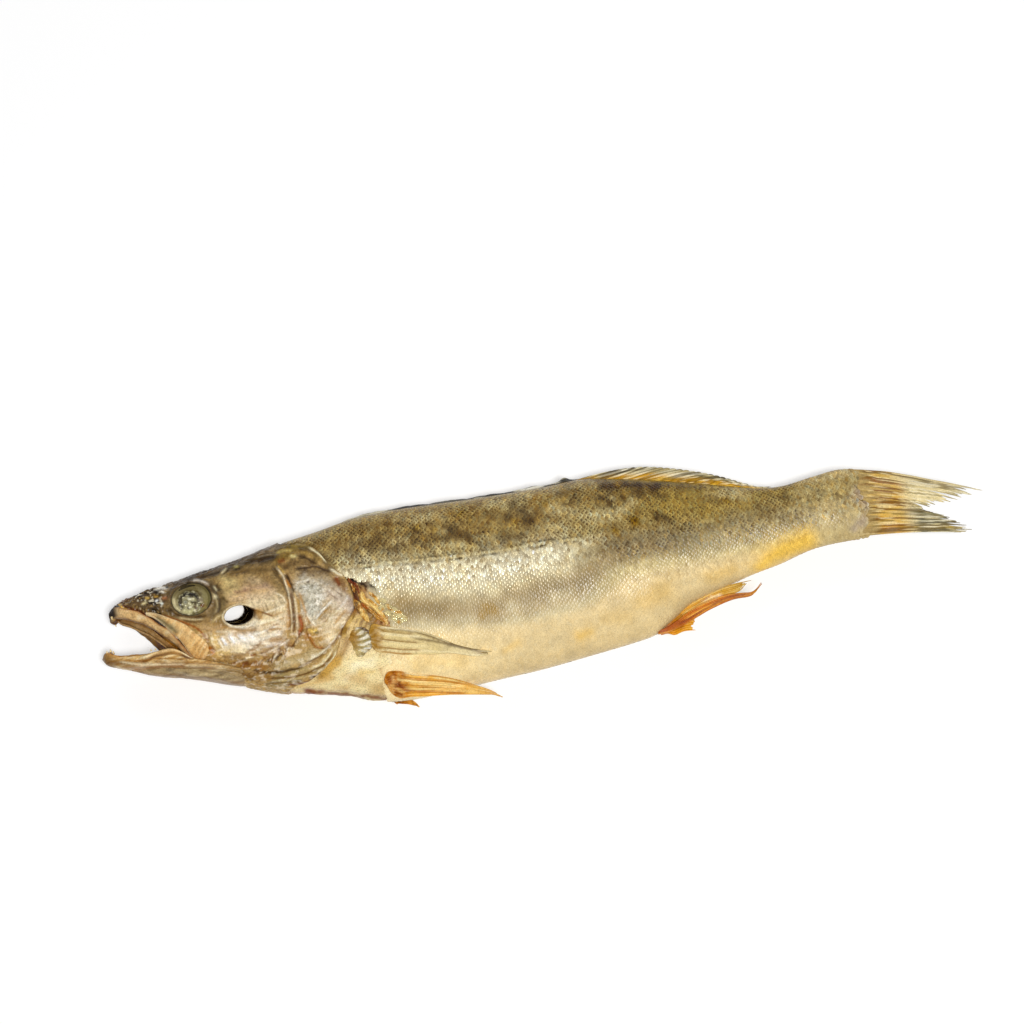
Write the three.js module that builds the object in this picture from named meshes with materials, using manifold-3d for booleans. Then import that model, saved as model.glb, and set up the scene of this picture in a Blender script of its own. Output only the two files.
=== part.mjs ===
// A dried zander, gutted and dried whole, lying on its right side with its mouth open.
// Millimetres. X runs from the snout to the tail, Y from the belly to the back, Z up from the table.
// The fish is one piece: its jaws, gill covers, eyes and fins are grown together, so it is one solid.
// Drawn lengths start at the lower jaw's tip, and heights at the line from there to the tail's tip.
// The finished group is moved so that its origin is the middle of the base of its box.
import * as THREE from "three";
import { mergeVertices } from "three/addons/utils/BufferGeometryUtils.js";
import Module from "manifold-3d";

const wasm = await Module();
wasm.setup();

// ---- Driving dimensions ----
const MIDDLE = 20.5; // height of the fish's middle plane above the table
const TAIL_LIFT = 4; // how far the dried tail has bent up off the table
const LIFT_FROM = 250; // where the tail starts to bend up
const LIFT_TO = 430; // where it ends
const FIN = 1.4; // thickness of a dried fin
const BURIED = 4; // how deep a back fin's base goes into the back
const COVER_RISE = 2; // how far the gill cover stands off the head
const JAW_PLATE_RISE = 1.3; // how far the plate over the mouth's corner stands off the cheek
const FULLER_BACK = 0.12; // how far a section's widest place lies above its middle, as a share of its half height
const FULLER_SIDE = 0.9; // under 1 makes a section fuller than an ellipse
const REACH = 60; // longer than the fish is thick: what is cut or kept right through it

// Lines of the head and trunk, each point [distance from the jaw's tip, value there].
const SNOUT = 6.5;
const TRUNK_END = 377;
const BACK = [
  [SNOUT, 19.5], [10, 23], [23, 26.7], [38, 29], [53, 31.5], [68, 33.5], [83, 36], [96, 38], [112, 40.2],
  [128, 42.8], [150, 43.4], [190, 41.5], [222, 40.8], [241, 41.2], [256, 38.6], [270, 35.5], [298, 28],
  [312, 23.8], [325, 20.5], [336, 19.6], [351, 21.3], [364, 22.2], [TRUNK_END, 19.5],
];
const BELLY = [
  [SNOUT, 16.5], [10, 16.2], [16, 14.7], [21, 12], [25, 8.6], [30, 4], [34, -1], [38, -6.5], [44, -13],
  [52, -19], [60, -24], [70, -29], [84, -33.5], [98, -37.3], [112, -41], [126, -45.6], [140, -47.6],
  [160, -47.3], [185, -46], [205, -45.2], [230, -43], [250, -41], [262, -39], [270, -34.5],
  [282, -27.5], [300, -22.7], [313, -19.5], [327, -17], [344, -13], [362, -12.3], [TRUNK_END, -13.5],
];
const HALF_WIDTH = [
  [SNOUT, 2.5], [9, 4.5], [15, 7.5], [25, 10.5], [40, 14], [60, 17.2], [80, 19.5], [96, 20.6], [110, 20.4],
  [124, 19.6], [150, 20.8], [180, 21.6], [210, 21.2], [240, 19], [270, 15.5], [300, 12], [325, 9.5],
  [345, 7.5], [362, 5.5], [TRUNK_END, 2.6],
];

// Lines of the lower jaw, of the throat's skin below it, and of the hollow between the jaws.
const JAW = {
  from: 0,
  to: 64,
  top: [[0, -0.5], [1.5, 1.8], [5, 2], [10, -0.4], [17, -0.9], [25, -1], [33, -2], [40, -5], [52, -11], [66, -18]],
  bottom: [[0, -3], [1.5, -6], [6, -8], [11, -9.7], [18, -11.4], [29, -13], [41, -15.5], [52, -18], [66, -22]],
  halfWidth: [[0, 1.6], [1.5, 3.2], [6, 5.2], [16, 8], [30, 11.5], [45, 15], [66, 16.5]],
};
const THROAT = {
  from: 13,
  to: 78,
  top: [[13, -8], [30, -9], [50, -10], [80, -14]],
  bottom: [[13, -9.8], [22, -14], [36, -18.8], [50, -22.6], [64, -27], [80, -32.3]],
  halfWidth: [[13, 1.5], [22, 4.5], [36, 8], [50, 11], [64, 13.5], [80, 15]],
};
const MOUTH = {
  from: 8,
  to: 58,
  top: [[4, 15], [12, 19.5], [24, 17], [36, 10], [60, -2]],
  bottom: [[4, 0], [12, -5], [24, -6.5], [36, -9], [60, -12]],
  halfWidth: [[4, 1.2], [12, 3.6], [24, 7], [36, 9.5], [60, 6]],
};

// Outlines seen from the side, closed curves through their points.
const GILL_COVER = [
  [76, -27], [86, -29], [96, -28], [107, -22], [114, -15], [119, -7.5], [123.5, -1], [124.5, 4], [121, 10.5],
  [113, 18.5], [102, 25.5], [92, 29], [88, 20], [90, 5], [84, -8], [72, -15],
];
const JAW_PLATE = [
  [23, 17], [32, 13], [40, 9], [47, 2.5], [51, -5], [47.5, -9.5], [43, -10.5], [39.5, -7.5], [35, 1], [29, 9],
];
const PECTORAL_FIN = [
  [127, -14], [136, -12.5], [150, -16], [162, -21.5], [172, -28.5], [181, -33.5], [170, -32], [155, -29.5],
  [140, -27], [128, -24],
];
const PELVIC_FIN = [
  [129, -42], [131, -36], [140, -34.5], [152, -37.5], [165, -42.5], [176, -49], [184, -55.5], [176, -52],
  [160, -50], [144, -48], [134, -45],
];
const ANAL_FIN = [
  [258, -38], [263, -40], [270, -41], [276, -40], [281, -40.5], [280.5, -36], [290, -32.3], [301, -29.4],
  [310, -29], [314, -25.6], [306, -27], [311, -22.5], [302, -20], [282, -24], [268, -33],
];
const PELVIC_FIN_SIDES = [6, -9]; // where each of the pair lies, from the middle plane

// The back fins' edges: the spiny fin lies folded flat, and the soft one stands up.
const SPINY_FIN_EDGE = [[122, 42.8], [135, 44.4], [160, 44.6], [190, 42.8], [218, 42], [232, 42.6], [240, 41]];
const SOFT_FIN_EDGE = [
  [232, 41], [240, 43.4], [255, 43.3], [271, 42], [283, 39.2], [297, 34.8], [310, 29], [324, 21.5],
];

// The tail fin: its edges, and the tips of its rays between them, each ray to its own length.
const TAIL_ROOT = { x: 372, top: 20.5, bottom: -13.8 };
const TAIL_UPPER_EDGE = [[386, 17.2], [400, 11.6], [415, 5.6]];
const TAIL_LOWER_EDGE = [[400, -18], [386, -16.2]];
const TAIL_TIPS = [
  [429, -0.8], [422.5, -2.6], [418, -4], [411, -5], [402, -5.2], [408, -8.8], [412, -12], [417.5, -15],
  [423, -19.6], [417, -19],
];
const TAIL_NOTCH = 0.12; // how far the fin has split back between two tips

// The eyeball has dried to a low dome: lowered is how deep its centre lies in the head.
const EYE = { x: 45, y: 18.8, radius: 9.5, flatness: 0.75, lowered: 5 };

// The hole through the cheeks, by which the fish hung while it dried, slants from one cheek to the other.
const CHEEK_HOLE = { left: [67, 6.5], right: [62.5, 14], halfLength: 7, halfHeight: 4.4, turn: 0.2 };

// ---- Helpers ----

// A smooth curve through [x, value] points, as a function of x.
function lineThrough(points) {
  const line = new THREE.CubicInterpolant(points.map((p) => p[0]), points.map((p) => p[1]), 1);
  return (x) => line.evaluate(x)[0];
}

// A closed geometry as a solid that can be joined and cut.
function solidOf(geometry) {
  const bare = geometry.clone();
  bare.deleteAttribute("normal");
  bare.deleteAttribute("uv");
  const merged = mergeVertices(bare, 1e-4);
  return new wasm.Manifold(
    new wasm.Mesh({
      numProp: 3,
      vertProperties: merged.attributes.position.array,
      triVerts: new Uint32Array(merged.index.array),
    }),
  );
}

// A joined solid as a geometry to show.
function geometryOf(solid) {
  const mesh = solid.getMesh();
  const geometry = new THREE.BufferGeometry();
  geometry.setAttribute("position", new THREE.BufferAttribute(new Float32Array(mesh.vertProperties), 3));
  geometry.setIndex(new THREE.BufferAttribute(new Uint32Array(mesh.triVerts), 1));
  geometry.computeVertexNormals();
  return geometry;
}

// Height of the middle plane: level along the trunk, rising towards the tail.
function middle(x) {
  return MIDDLE + TAIL_LIFT * THREE.MathUtils.smoothstep(x, LIFT_FROM, LIFT_TO);
}

// Wraps a closed cylinder's grid round the sections between two stations. Each section reaches from bottom
// to top and halfWidth to each side, widest a little above its middle as a fish is. crowd over 1 puts more
// stations at the snout end, and grow widens the sections sideways.
function loft({ top, bottom, halfWidth, from, to, around, along, crowd = 1, grow = 0 }) {
  const grid = new THREE.CylinderGeometry(1, 1, 1, around, along);
  const place = grid.getAttribute("position");
  const [topAt, bottomAt, halfAt] = [top, bottom, halfWidth].map(lineThrough);
  for (let i = 0; i < place.count; i++) {
    const share = 0.5 - place.getY(i);
    const x = from + (to - from) * share ** crowd;
    const out = Math.hypot(place.getX(i), place.getZ(i));
    const turn = Math.atan2(place.getZ(i), place.getX(i));
    const centre = (topAt(x) + bottomAt(x)) / 2;
    const reach = (topAt(x) - bottomAt(x)) / 2;
    const bulge = FULLER_BACK * reach * Math.sin(turn) ** 2;
    const side = Math.sign(Math.sin(turn)) * Math.abs(Math.sin(turn)) ** FULLER_SIDE;
    place.setXYZ(
      i,
      x,
      centre + out * (reach * Math.cos(turn) + bulge),
      middle(x) + out * (halfAt(x) + grow) * side,
    );
  }
  return solidOf(grid);
}

// A flat shape's smooth closed outline through its points.
function outlineThrough(points) {
  const corners = points.map(([x, y]) => new THREE.Vector3(x, y, 0));
  const curve = new THREE.CatmullRomCurve3(corners, true, "centripetal");
  const rim = curve.getPoints(2 * points.length).slice(0, -1);
  return new THREE.Shape(rim.map((p) => new THREE.Vector2(p.x, p.y)));
}

// A slab with the shape's outline, from low to low + thickness.
function slab(shape, low, thickness) {
  const geometry = new THREE.ExtrudeGeometry(shape, { depth: thickness, bevelEnabled: false, steps: 1 });
  geometry.translate(0, 0, low);
  return solidOf(geometry);
}

// A plate that stands off both sides of the head or trunk inside an outline.
function raisedPlate(outline, rise) {
  const through = slab(outlineThrough(outline), MIDDLE - REACH, 2 * REACH);
  return headAndTrunk(rise).intersect(through);
}

// A fin in the middle plane, as thick as a fin, at the plane's height at x.
function middleFin(shape, x) {
  return slab(shape, middle(x) - FIN / 2, FIN);
}

// A fin along the back: a strip from inside the back to its edge line.
function backFin(edge) {
  const backAt = lineThrough(BACK);
  const edgeAt = lineThrough(edge);
  const [start, end] = [edge[0][0], edge.at(-1)[0]];
  const steps = 14;
  const stations = Array.from({ length: steps + 1 }, (_, i) => start + ((end - start) * i) / steps);
  const base = stations.map((x) => new THREE.Vector2(x, backAt(x) - BURIED));
  const rim = stations.map((x) => new THREE.Vector2(x, edgeAt(x))).reverse();
  return middleFin(new THREE.Shape([...base, ...rim]), (start + end) / 2);
}

// ---- Parts of the fish ----
function headAndTrunk(grow = 0) {
  return loft({
    top: BACK, bottom: BELLY, halfWidth: HALF_WIDTH,
    from: SNOUT, to: TRUNK_END, around: 36, along: 54, crowd: 1.25, grow,
  });
}

function lowerJaw() {
  return loft({ ...JAW, around: 24, along: 16, crowd: 1.3 });
}

function throat() {
  return loft({ ...THROAT, around: 20, along: 12 });
}

// The hollow between the jaws, which goes back to the throat.
function mouthHollow() {
  return loft({ ...MOUTH, around: 20, along: 8 });
}

// The eyeballs on both sides of the head.
function eyes() {
  const out = lineThrough(HALF_WIDTH)(EYE.x) - EYE.lowered;
  const ball = new THREE.SphereGeometry(EYE.radius, 20, 12).scale(1, 1, EYE.flatness);
  return [1, -1].map((side) => solidOf(ball.clone().translate(EYE.x, EYE.y, middle(EYE.x) + side * out)));
}

// A slanting bar that cuts the hole through both cheeks.
function cheekHole() {
  const [left, right] = [CHEEK_HOLE.left, CHEEK_HOLE.right];
  const width = 2 * MIDDLE;
  const shape = new THREE.Shape();
  shape.absellipse(0, 0, CHEEK_HOLE.halfLength, CHEEK_HOLE.halfHeight, 0, 2 * Math.PI, false, CHEEK_HOLE.turn);
  const bar = new THREE.ExtrudeGeometry(shape, { depth: 3 * width, bevelEnabled: false, curveSegments: 20 });
  bar.translate(0, 0, -width);
  bar.applyMatrix4(
    new THREE.Matrix4().makeShear(0, 0, 0, 0, (left[0] - right[0]) / width, (left[1] - right[1]) / width),
  );
  bar.translate(right[0], right[1], 0);
  return solidOf(bar);
}

// The tail fin: round its root, out along the upper edge, along the ragged tips, and back.
function tailFin() {
  const root = new THREE.Vector2(TAIL_ROOT.x, (TAIL_ROOT.top + TAIL_ROOT.bottom) / 2);
  const shape = new THREE.Shape();
  shape.moveTo(TAIL_ROOT.x, TAIL_ROOT.bottom);
  shape.lineTo(TAIL_ROOT.x, TAIL_ROOT.top);
  TAIL_UPPER_EDGE.forEach(([x, y]) => shape.lineTo(x, y));
  TAIL_TIPS.forEach(([x, y], i) => {
    shape.lineTo(x, y);
    const next = TAIL_TIPS[i + 1];
    if (next) {
      const notch = new THREE.Vector2((x + next[0]) / 2, (y + next[1]) / 2).lerp(root, TAIL_NOTCH);
      shape.lineTo(notch.x, notch.y);
    }
  });
  TAIL_LOWER_EDGE.forEach(([x, y]) => shape.lineTo(x, y));
  return middleFin(shape, TAIL_UPPER_EDGE[1][0]);
}

// The pair of belly fins, folded back side by side.
function pelvicFins() {
  return PELVIC_FIN_SIDES.map((side) => slab(outlineThrough(PELVIC_FIN), MIDDLE + side, FIN));
}

// What lies below the table's top, which has pressed the fish's underside flat.
function table() {
  const slabUnder = new THREE.BoxGeometry(2 * LIFT_TO, LIFT_TO, REACH);
  return solidOf(slabUnder.translate(LIFT_TO / 2, 0, -REACH / 2));
}

// ---- The whole fish ----
function wholeFish() {
  const grown = [
    headAndTrunk(),
    lowerJaw(),
    throat(),
    raisedPlate(GILL_COVER, COVER_RISE),
    raisedPlate(JAW_PLATE, JAW_PLATE_RISE),
    raisedPlate(PECTORAL_FIN, FIN),
    ...eyes(),
    tailFin(),
    backFin(SPINY_FIN_EDGE),
    backFin(SOFT_FIN_EDGE),
    middleFin(outlineThrough(ANAL_FIN), ANAL_FIN[5][0]),
    ...pelvicFins(),
  ];
  return grown
    .reduce((fish, piece) => fish.add(piece))
    .subtract(mouthHollow())
    .subtract(cheekHole())
    .subtract(table());
}

const driedSkin = new THREE.MeshStandardMaterial({ color: 0xb49a62, roughness: 0.5, metalness: 0 });
const fish = new THREE.Mesh(geometryOf(wholeFish()), driedSkin);
fish.name = "zander";

const group = new THREE.Group();
group.add(fish);
const box = new THREE.Box3().setFromObject(fish);
const middleOfBox = box.getCenter(new THREE.Vector3());
group.position.set(-middleOfBox.x, -middleOfBox.y, -box.min.z);

export default group;
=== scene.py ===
# %% [markdown]
# # A dried zander
# The fish was gutted, salted and hung to dry, and it lies on its right side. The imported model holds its
# true form as one plain solid. Here that solid is dressed: a skin with thousands of real scales, a head
# carved bone by bone, teeth, dried eyes, and fins made ray by ray. Everything is measured in the fish's own
# millimetres, from the lower jaw's tip towards the tail and from the middle line towards the back.

# %% Load the frame
import itertools
import math

import bmesh
import bpy
import numpy as np
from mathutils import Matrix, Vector


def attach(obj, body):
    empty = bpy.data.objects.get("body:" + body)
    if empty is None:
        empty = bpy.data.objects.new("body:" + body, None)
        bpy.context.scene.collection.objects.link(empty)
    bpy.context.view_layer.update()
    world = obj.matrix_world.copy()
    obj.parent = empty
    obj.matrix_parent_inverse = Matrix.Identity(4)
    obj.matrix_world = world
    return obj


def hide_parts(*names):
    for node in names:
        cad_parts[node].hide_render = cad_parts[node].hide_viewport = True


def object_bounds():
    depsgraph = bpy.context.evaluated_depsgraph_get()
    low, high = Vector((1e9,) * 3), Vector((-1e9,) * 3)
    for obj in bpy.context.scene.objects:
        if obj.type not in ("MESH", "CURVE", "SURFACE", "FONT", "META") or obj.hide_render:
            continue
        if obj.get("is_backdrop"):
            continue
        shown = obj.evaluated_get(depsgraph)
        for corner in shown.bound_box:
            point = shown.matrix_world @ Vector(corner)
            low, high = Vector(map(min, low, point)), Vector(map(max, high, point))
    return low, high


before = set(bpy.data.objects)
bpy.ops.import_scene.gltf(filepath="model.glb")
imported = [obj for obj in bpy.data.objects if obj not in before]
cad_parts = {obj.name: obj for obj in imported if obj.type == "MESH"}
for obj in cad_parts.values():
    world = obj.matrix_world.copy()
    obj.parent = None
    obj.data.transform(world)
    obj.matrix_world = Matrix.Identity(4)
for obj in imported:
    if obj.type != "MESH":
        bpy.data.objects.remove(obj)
cad_low, cad_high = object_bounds()
print("solid fish, mm:", [round(1000 * side, 1) for side in cad_high - cad_low])

# %% [markdown]
# A fish is easiest to describe in side view. x runs from the jaw's tip to the tail, y from the belly to the
# back, and z up from the table. These few functions turn that drawing into metres in the frame.

# %% Fish coordinates
MM = 0.001
LOWEST_FIN = -55.5  # the belly fin's tip is the lowest place of the side view
MIDDLE = 20.5  # height of the fish's middle plane
TAIL_LIFT, LIFT_FROM, LIFT_TO = 4.0, 250.0, 430.0
SEW = 2e-6  # places closer than this are one vertex


def in_metres(x, y, z):
    x, y, z = np.broadcast_arrays(x, y, z)
    return np.stack([cad_low.x + x * MM, cad_low.y + (y - LOWEST_FIN) * MM, cad_low.z + z * MM], axis=-1)


def in_mm(places):
    moved = places - np.array(cad_low)
    return moved[:, 0] / MM, moved[:, 1] / MM + LOWEST_FIN, moved[:, 2] / MM


def ramp(value, start, end):
    share = np.clip((value - start) / (end - start), 0, 1)
    return share * share * (3 - 2 * share)


def bell(away, width):
    """1 where away is 0, and almost nothing at twice the width."""
    return np.exp(-((away / width) ** 2))


def columns(x, y, z):
    return np.stack([x, y, z], axis=1)


def middle(x):
    return MIDDLE + TAIL_LIFT * ramp(x, LIFT_FROM, LIFT_TO)


# %% [markdown]
# The marks on the skin are placed as the eye sees them from a good metre above the breast. High parts look a
# little farther out from there, like the rim of a cup seen from above. `as_seen` goes from the body to that
# view, and `from_view` goes back.

# %% Seen from above
SEEN_FROM, VIEW_LEVEL = (167.0, -166.0, 1168.0), 25.0
DROP = 0.3  # mm: all marks lie this much lower than drawn


def forward(x):
    """How far the marks of the head move towards the snout."""
    return 1.8 * np.clip(1 - x / 140, 0, 1)


def as_seen(x, y, z):
    """Where a place of the body is seen. The right side is marked like the left."""
    height = middle(x) + np.abs(z - middle(x))
    larger = (SEEN_FROM[2] - VIEW_LEVEL) / (SEEN_FROM[2] - height)
    seen_x = SEEN_FROM[0] + (x - SEEN_FROM[0]) * larger - forward(x)
    return seen_x, SEEN_FROM[1] + (y - SEEN_FROM[1]) * larger - DROP


def from_view(x, y, z):
    """The place of the body at height z that is seen at x and y."""
    height = middle(x) + np.abs(z - middle(x))
    smaller = (SEEN_FROM[2] - height) / (SEEN_FROM[2] - VIEW_LEVEL)
    body_x = SEEN_FROM[0] + (x + forward(x) - SEEN_FROM[0]) * smaller
    return body_x, SEEN_FROM[1] + (y + DROP - SEEN_FROM[1]) * smaller


# %% [markdown]
# The body's lines come next: back, belly and half width. A Hermite curve runs through a few points of each,
# as a boat builder's spline runs round its nails.


# %% Body lines
def places(text):
    """A drawn line in mm, written as x,y x,y and so on."""
    return [tuple(float(number) for number in place.split(",")) for place in text.split()]


def line_through(text):
    xs, ys = np.array(places(text)).T
    slopes = np.empty_like(ys)
    slopes[1:-1] = (ys[2:] - ys[:-2]) / (xs[2:] - xs[:-2])
    slopes[0] = (ys[1] - ys[0]) / (xs[1] - xs[0])
    slopes[-1] = (ys[-1] - ys[-2]) / (xs[-1] - xs[-2])

    def at(x):
        x = np.clip(x, xs[0], xs[-1])
        i = np.clip(np.searchsorted(xs, x) - 1, 0, len(xs) - 2)
        width = xs[i + 1] - xs[i]
        t = (x - xs[i]) / width
        start = (1 + 2 * t) * (1 - t) ** 2 * ys[i] + t * (1 - t) ** 2 * width * slopes[i]
        end = t * t * (3 - 2 * t) * ys[i + 1] + t * t * (t - 1) * width * slopes[i + 1]
        return start + end

    return at


back_at = line_through("""6.5,19.5 10,23 23,26.7 38,29 53,31.5 68,33.5 83,36 96,38 112,40.2 128,42.8
    150,43.4 190,41.5 222,40.8 241,41.2 256,38.6 270,35.5 298,28 312,23.8 325,20.5 336,19.6 351,21.3
    364,22.2 377,19.5""")
belly_at = line_through("""6.5,16.5 10,16.2 16,14.7 21,12 25,8.6 30,4 34,-1 38,-6.5 44,-13 52,-19 60,-24
    70,-29 84,-33.5 98,-37.3 112,-41 126,-45.6 140,-47.6 160,-47.3 185,-46 205,-45.2 230,-43 250,-41 262,-39
    270,-34.5 282,-27.5 300,-22.7 313,-19.5 327,-17 344,-13 362,-12.3 377,-13.5""")
half_width_at = line_through("""6.5,2.5 9,4.5 15,7.5 25,10.5 40,14 60,17.2 80,19.5 96,20.6 110,20.4 124,19.6
    150,20.8 180,21.6 210,21.2 240,19 270,15.5 300,12 325,9.5 345,7.5 362,5.5 377,2.6""")
side_line_at = line_through("118,18.4 148,15.3 181,12.2 215,11.2 245,9.9 283,8.2 322,8.5 352,10.6 377,11.4")
FULLER_BACK, FULLER_SIDE = 0.12, 0.9


def section_at(x, turn):
    """The skin's y and z at a station. turn 0 is the back, and half a turn the belly, by the left side."""
    top, bottom = back_at(x), belly_at(x)
    reach = (top - bottom) / 2
    side = np.sin(turn)
    y = (top + bottom) / 2 + reach * (np.cos(turn) + FULLER_BACK * side**2)
    z = middle(x) + half_width_at(x) * np.sign(side) * np.abs(side) ** FULLER_SIDE
    return y, z


def side_height(x, y):
    """Height of the left side's skin over a place of the side view."""
    top, bottom = back_at(x), belly_at(x)
    level = (y - (top + bottom) / 2) / ((top - bottom) / 2)
    root = np.sqrt(np.maximum(1 - 4 * FULLER_BACK * (level - FULLER_BACK), 0))
    cosine = np.clip((1 - root) / (2 * FULLER_BACK), -1, 1)
    return middle(x) + half_width_at(x) * (1 - cosine**2) ** (FULLER_SIDE / 2)


# %% [markdown]
# Dried skin is blotched, wrinkled and pitted, never even. Two tools give that. `grain` is smooth random
# noise of a chosen size, the same at each run. `nearest` measures how far each place lies from a drawn
# line, so that a wrinkle, a ridge or a stain can follow that line.


# %% Noise and drawn lines
def grain(places, size, seed=0):
    """Smooth random numbers from -1 to 1. places are in mm, and size is how wide one grain is."""
    cell = np.asarray(places, float) / size
    base = np.floor(cell).astype(np.int64)
    part = cell - base
    part = part * part * (3 - 2 * part)
    total = np.zeros(len(cell))
    for corner in itertools.product((0, 1), repeat=3):
        n = base + corner
        mixed = (n[:, 0] * 73856093) ^ (n[:, 1] * 19349663) ^ (n[:, 2] * 83492791) ^ (seed * 40503 + 977)
        mixed = ((mixed ^ (mixed >> 13)) * 1274126177) & 0xFFFFFFFF
        mixed = ((mixed ^ (mixed >> 16)) * 2246822519) & 0xFFFFFFFF
        weight = np.prod(np.where(corner, part, 1 - part), axis=1)
        total += weight * (mixed / 0xFFFFFFFF * 2 - 1)
    return total


def grains(x, y, z, *kinds):
    return [grain(columns(x, y, z), size, seed) for size, seed in kinds]


def flowing(points, fine=5):
    """A drawn line with its corners rounded."""
    points = np.array(points, float)
    if len(points) < 3:
        return points
    ends = np.vstack([2 * points[0] - points[1], points, 2 * points[-1] - points[-2]])
    parts = []
    for before, start, end, after in zip(ends, ends[1:], ends[2:], ends[3:]):
        for t in np.arange(fine) / fine:
            bend = (2 * before - 5 * start + 4 * end - after) * t**2
            twist = (3 * start - before - 3 * end + after) * t**3
            parts.append(0.5 * (2 * start + (end - before) * t + bend + twist))
    return np.array(parts + [points[-1]])


def creases(places, size, seed, width=0.09):
    """1 on thin meandering wrinkles, 0 between them."""
    here = ramp(grain(places, 2.5 * size, seed + 1), -0.2, 0.3)
    return bell(grain(places, size, seed), width) * here


def along_line(points, share):
    """Places at the given shares of a drawn line's length."""
    line = flowing(points)
    steps = np.concatenate([[0], np.cumsum(np.linalg.norm(np.diff(line, axis=0), axis=1))])
    return [np.interp(share * steps[-1], steps, line[:, i]) for i in range(line.shape[1])]


def between(upper, lower, u, v):
    """The place between two drawn lines, at share u along them and v across."""
    ux, uy = along_line(upper, u)
    lx, ly = along_line(lower, u)
    return ux + (lx - ux) * v, uy + (ly - uy) * v


def nearest(x, y, points):
    """Each place's distance from a drawn line, its side (above 0 on the left) and its share along it."""
    line = flowing(points)
    lengths = np.hypot(*np.diff(line, axis=0).T)
    best, side, share = np.full(x.shape, 1e9), np.zeros(x.shape), np.zeros(x.shape)
    start = 0.0
    for a, b, length in zip(line, line[1:], lengths):
        along = np.clip(((x - a[0]) * (b[0] - a[0]) + (y - a[1]) * (b[1] - a[1])) / length**2, 0, 1)
        dx, dy = x - a[0] - along * (b[0] - a[0]), y - a[1] - along * (b[1] - a[1])
        away = np.hypot(dx, dy)
        closer = away < best
        best[closer] = away[closer]
        side[closer] = np.sign((b[0] - a[0]) * dy - (b[1] - a[1]) * dx)[closer]
        share[closer] = ((start + along * length) / lengths.sum())[closer]
        start += length
    return best, side, share


def colour(code):
    """A colour written as in a paint chart, as the linear numbers that Blender works with."""
    channels = np.array([int(code[i:i + 2], 16) / 255 for i in (1, 3, 5)])
    return np.where(channels <= 0.04045, channels / 12.92, ((channels + 0.055) / 1.055) ** 2.4)


def blend(tint, mask, code):
    return tint + (colour(code) - tint) * np.clip(mask, 0, 1)[:, None]


def brush(tint):
    def coat(mask, code):
        """Lays a colour over the tint, as strongly as the mask says."""
        tint[:] = blend(tint, mask, code)

    return coat


def base_coat(x, code):
    """A plain tint for all places, and its brush."""
    tint = np.tile(colour(code), (len(x), 1))
    return tint, brush(tint)


def surface(x, specks, gloss, silver=0.0):
    return columns(specks + 0 * x, gloss + 0 * x, silver + 0 * x)


def rows(text):
    """Drawn lines, one a row: its places, a bar, and the numbers and colour that go with it."""
    made = []
    for row in text.strip().split("\n"):
        line, rest = row.split("|")
        made.append((places(line), *[word if "#" in word else float(word) for word in rest.split()]))
    return made


# %% [markdown]
# Apart from the scales and the teeth, every piece is a grid from bmesh, wrapped over the fish by a small
# function of its own. `sheet` makes and places the grid, and `finish` paints its vertices, gives it a
# material and ties it to the frame. What lies on the right is pressed flat, as the table has done.

# %% Making a piece
REST = 0.25  # how high the pressed side lies above the table


def other_side(x, z, side, rest=REST):
    """Mirrors heights to the right side, and presses them flat on the table."""
    return np.maximum(middle(x) + side * (z - middle(x)), rest)


def sheet(along, across, wrap, sew=False, into=None, mirrored=False):
    """A grid wrapped by wrap(u, v), which gives x, y and z in mm. u and v run from 0 to 1."""
    shape = into or bmesh.new()
    grid = bmesh.ops.create_grid(shape, x_segments=along, y_segments=across, size=0.5)["verts"]
    spots = np.array([vert.co[:2] for vert in grid])
    spots = (spots - spots.min(0)) / (spots.max(0) - spots.min(0))
    for vert, place in zip(grid, in_metres(*wrap(spots[:, 0], spots[:, 1]))):
        vert.co = place
    if mirrored:
        bmesh.ops.reverse_faces(shape, faces=list({f for vert in grid for f in vert.link_faces}))
    if sew:
        bmesh.ops.remove_doubles(shape, verts=grid, dist=SEW)
    return shape


def places_of(mesh):
    flat = np.empty(3 * len(mesh.vertices))
    mesh.vertices.foreach_get("co", flat)
    return flat.reshape(-1, 3)


def paint(mesh, tint, finish):
    """Stores each vertex's colour, and its finish: specks, gloss and silver, from 0 to 1."""
    for name, values in (("tint", tint), ("finish", finish)):
        layer = mesh.color_attributes.new(name, "FLOAT_COLOR", "POINT")
        filled = np.ones((len(mesh.vertices), 4))
        filled[:, :3] = values
        layer.data.foreach_set("color", np.clip(filled, 0, 1).ravel())


def piece(name, shape, painter, material, slot, thickness=0.0, outward=True):
    """Turns a bmesh into a finished piece of the fish."""
    if outward:
        bmesh.ops.recalc_face_normals(shape, faces=shape.faces)
    mesh = bpy.data.meshes.new(name)
    shape.to_mesh(mesh)
    shape.free()
    return finish(name, mesh, painter, material, slot, thickness)


def finish(name, mesh, painter, material, slot, thickness=0.0):
    mesh.shade_smooth()
    x, y, z = in_mm(places_of(mesh))
    paint(mesh, *painter(x, y, z))
    mesh.materials.append(material)
    made = bpy.data.objects.new(name, mesh)
    bpy.context.scene.collection.objects.link(made)
    if thickness:
        wall = made.modifiers.new("thickness", "SOLIDIFY")
        wall.thickness, wall.offset = thickness * MM, -1.0
    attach(made, "root")
    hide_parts("zander")
    print(f"{name}: {len(mesh.polygons)} faces")
    return made

# %% [markdown]
# All of the fish is dried skin, bone and fin, and they share one kind of finish. The painted tint gives the
# broad colour. On top come fine brown specks, a low grain that catches the light, and a gloss that changes
# from place to place. So one function builds every material, with other numbers for each.


# %% Dried materials
RICHNESS = 1.03


def set_sockets(node, values):
    for socket, value in values.items():
        node.inputs[socket].default_value = value


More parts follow.
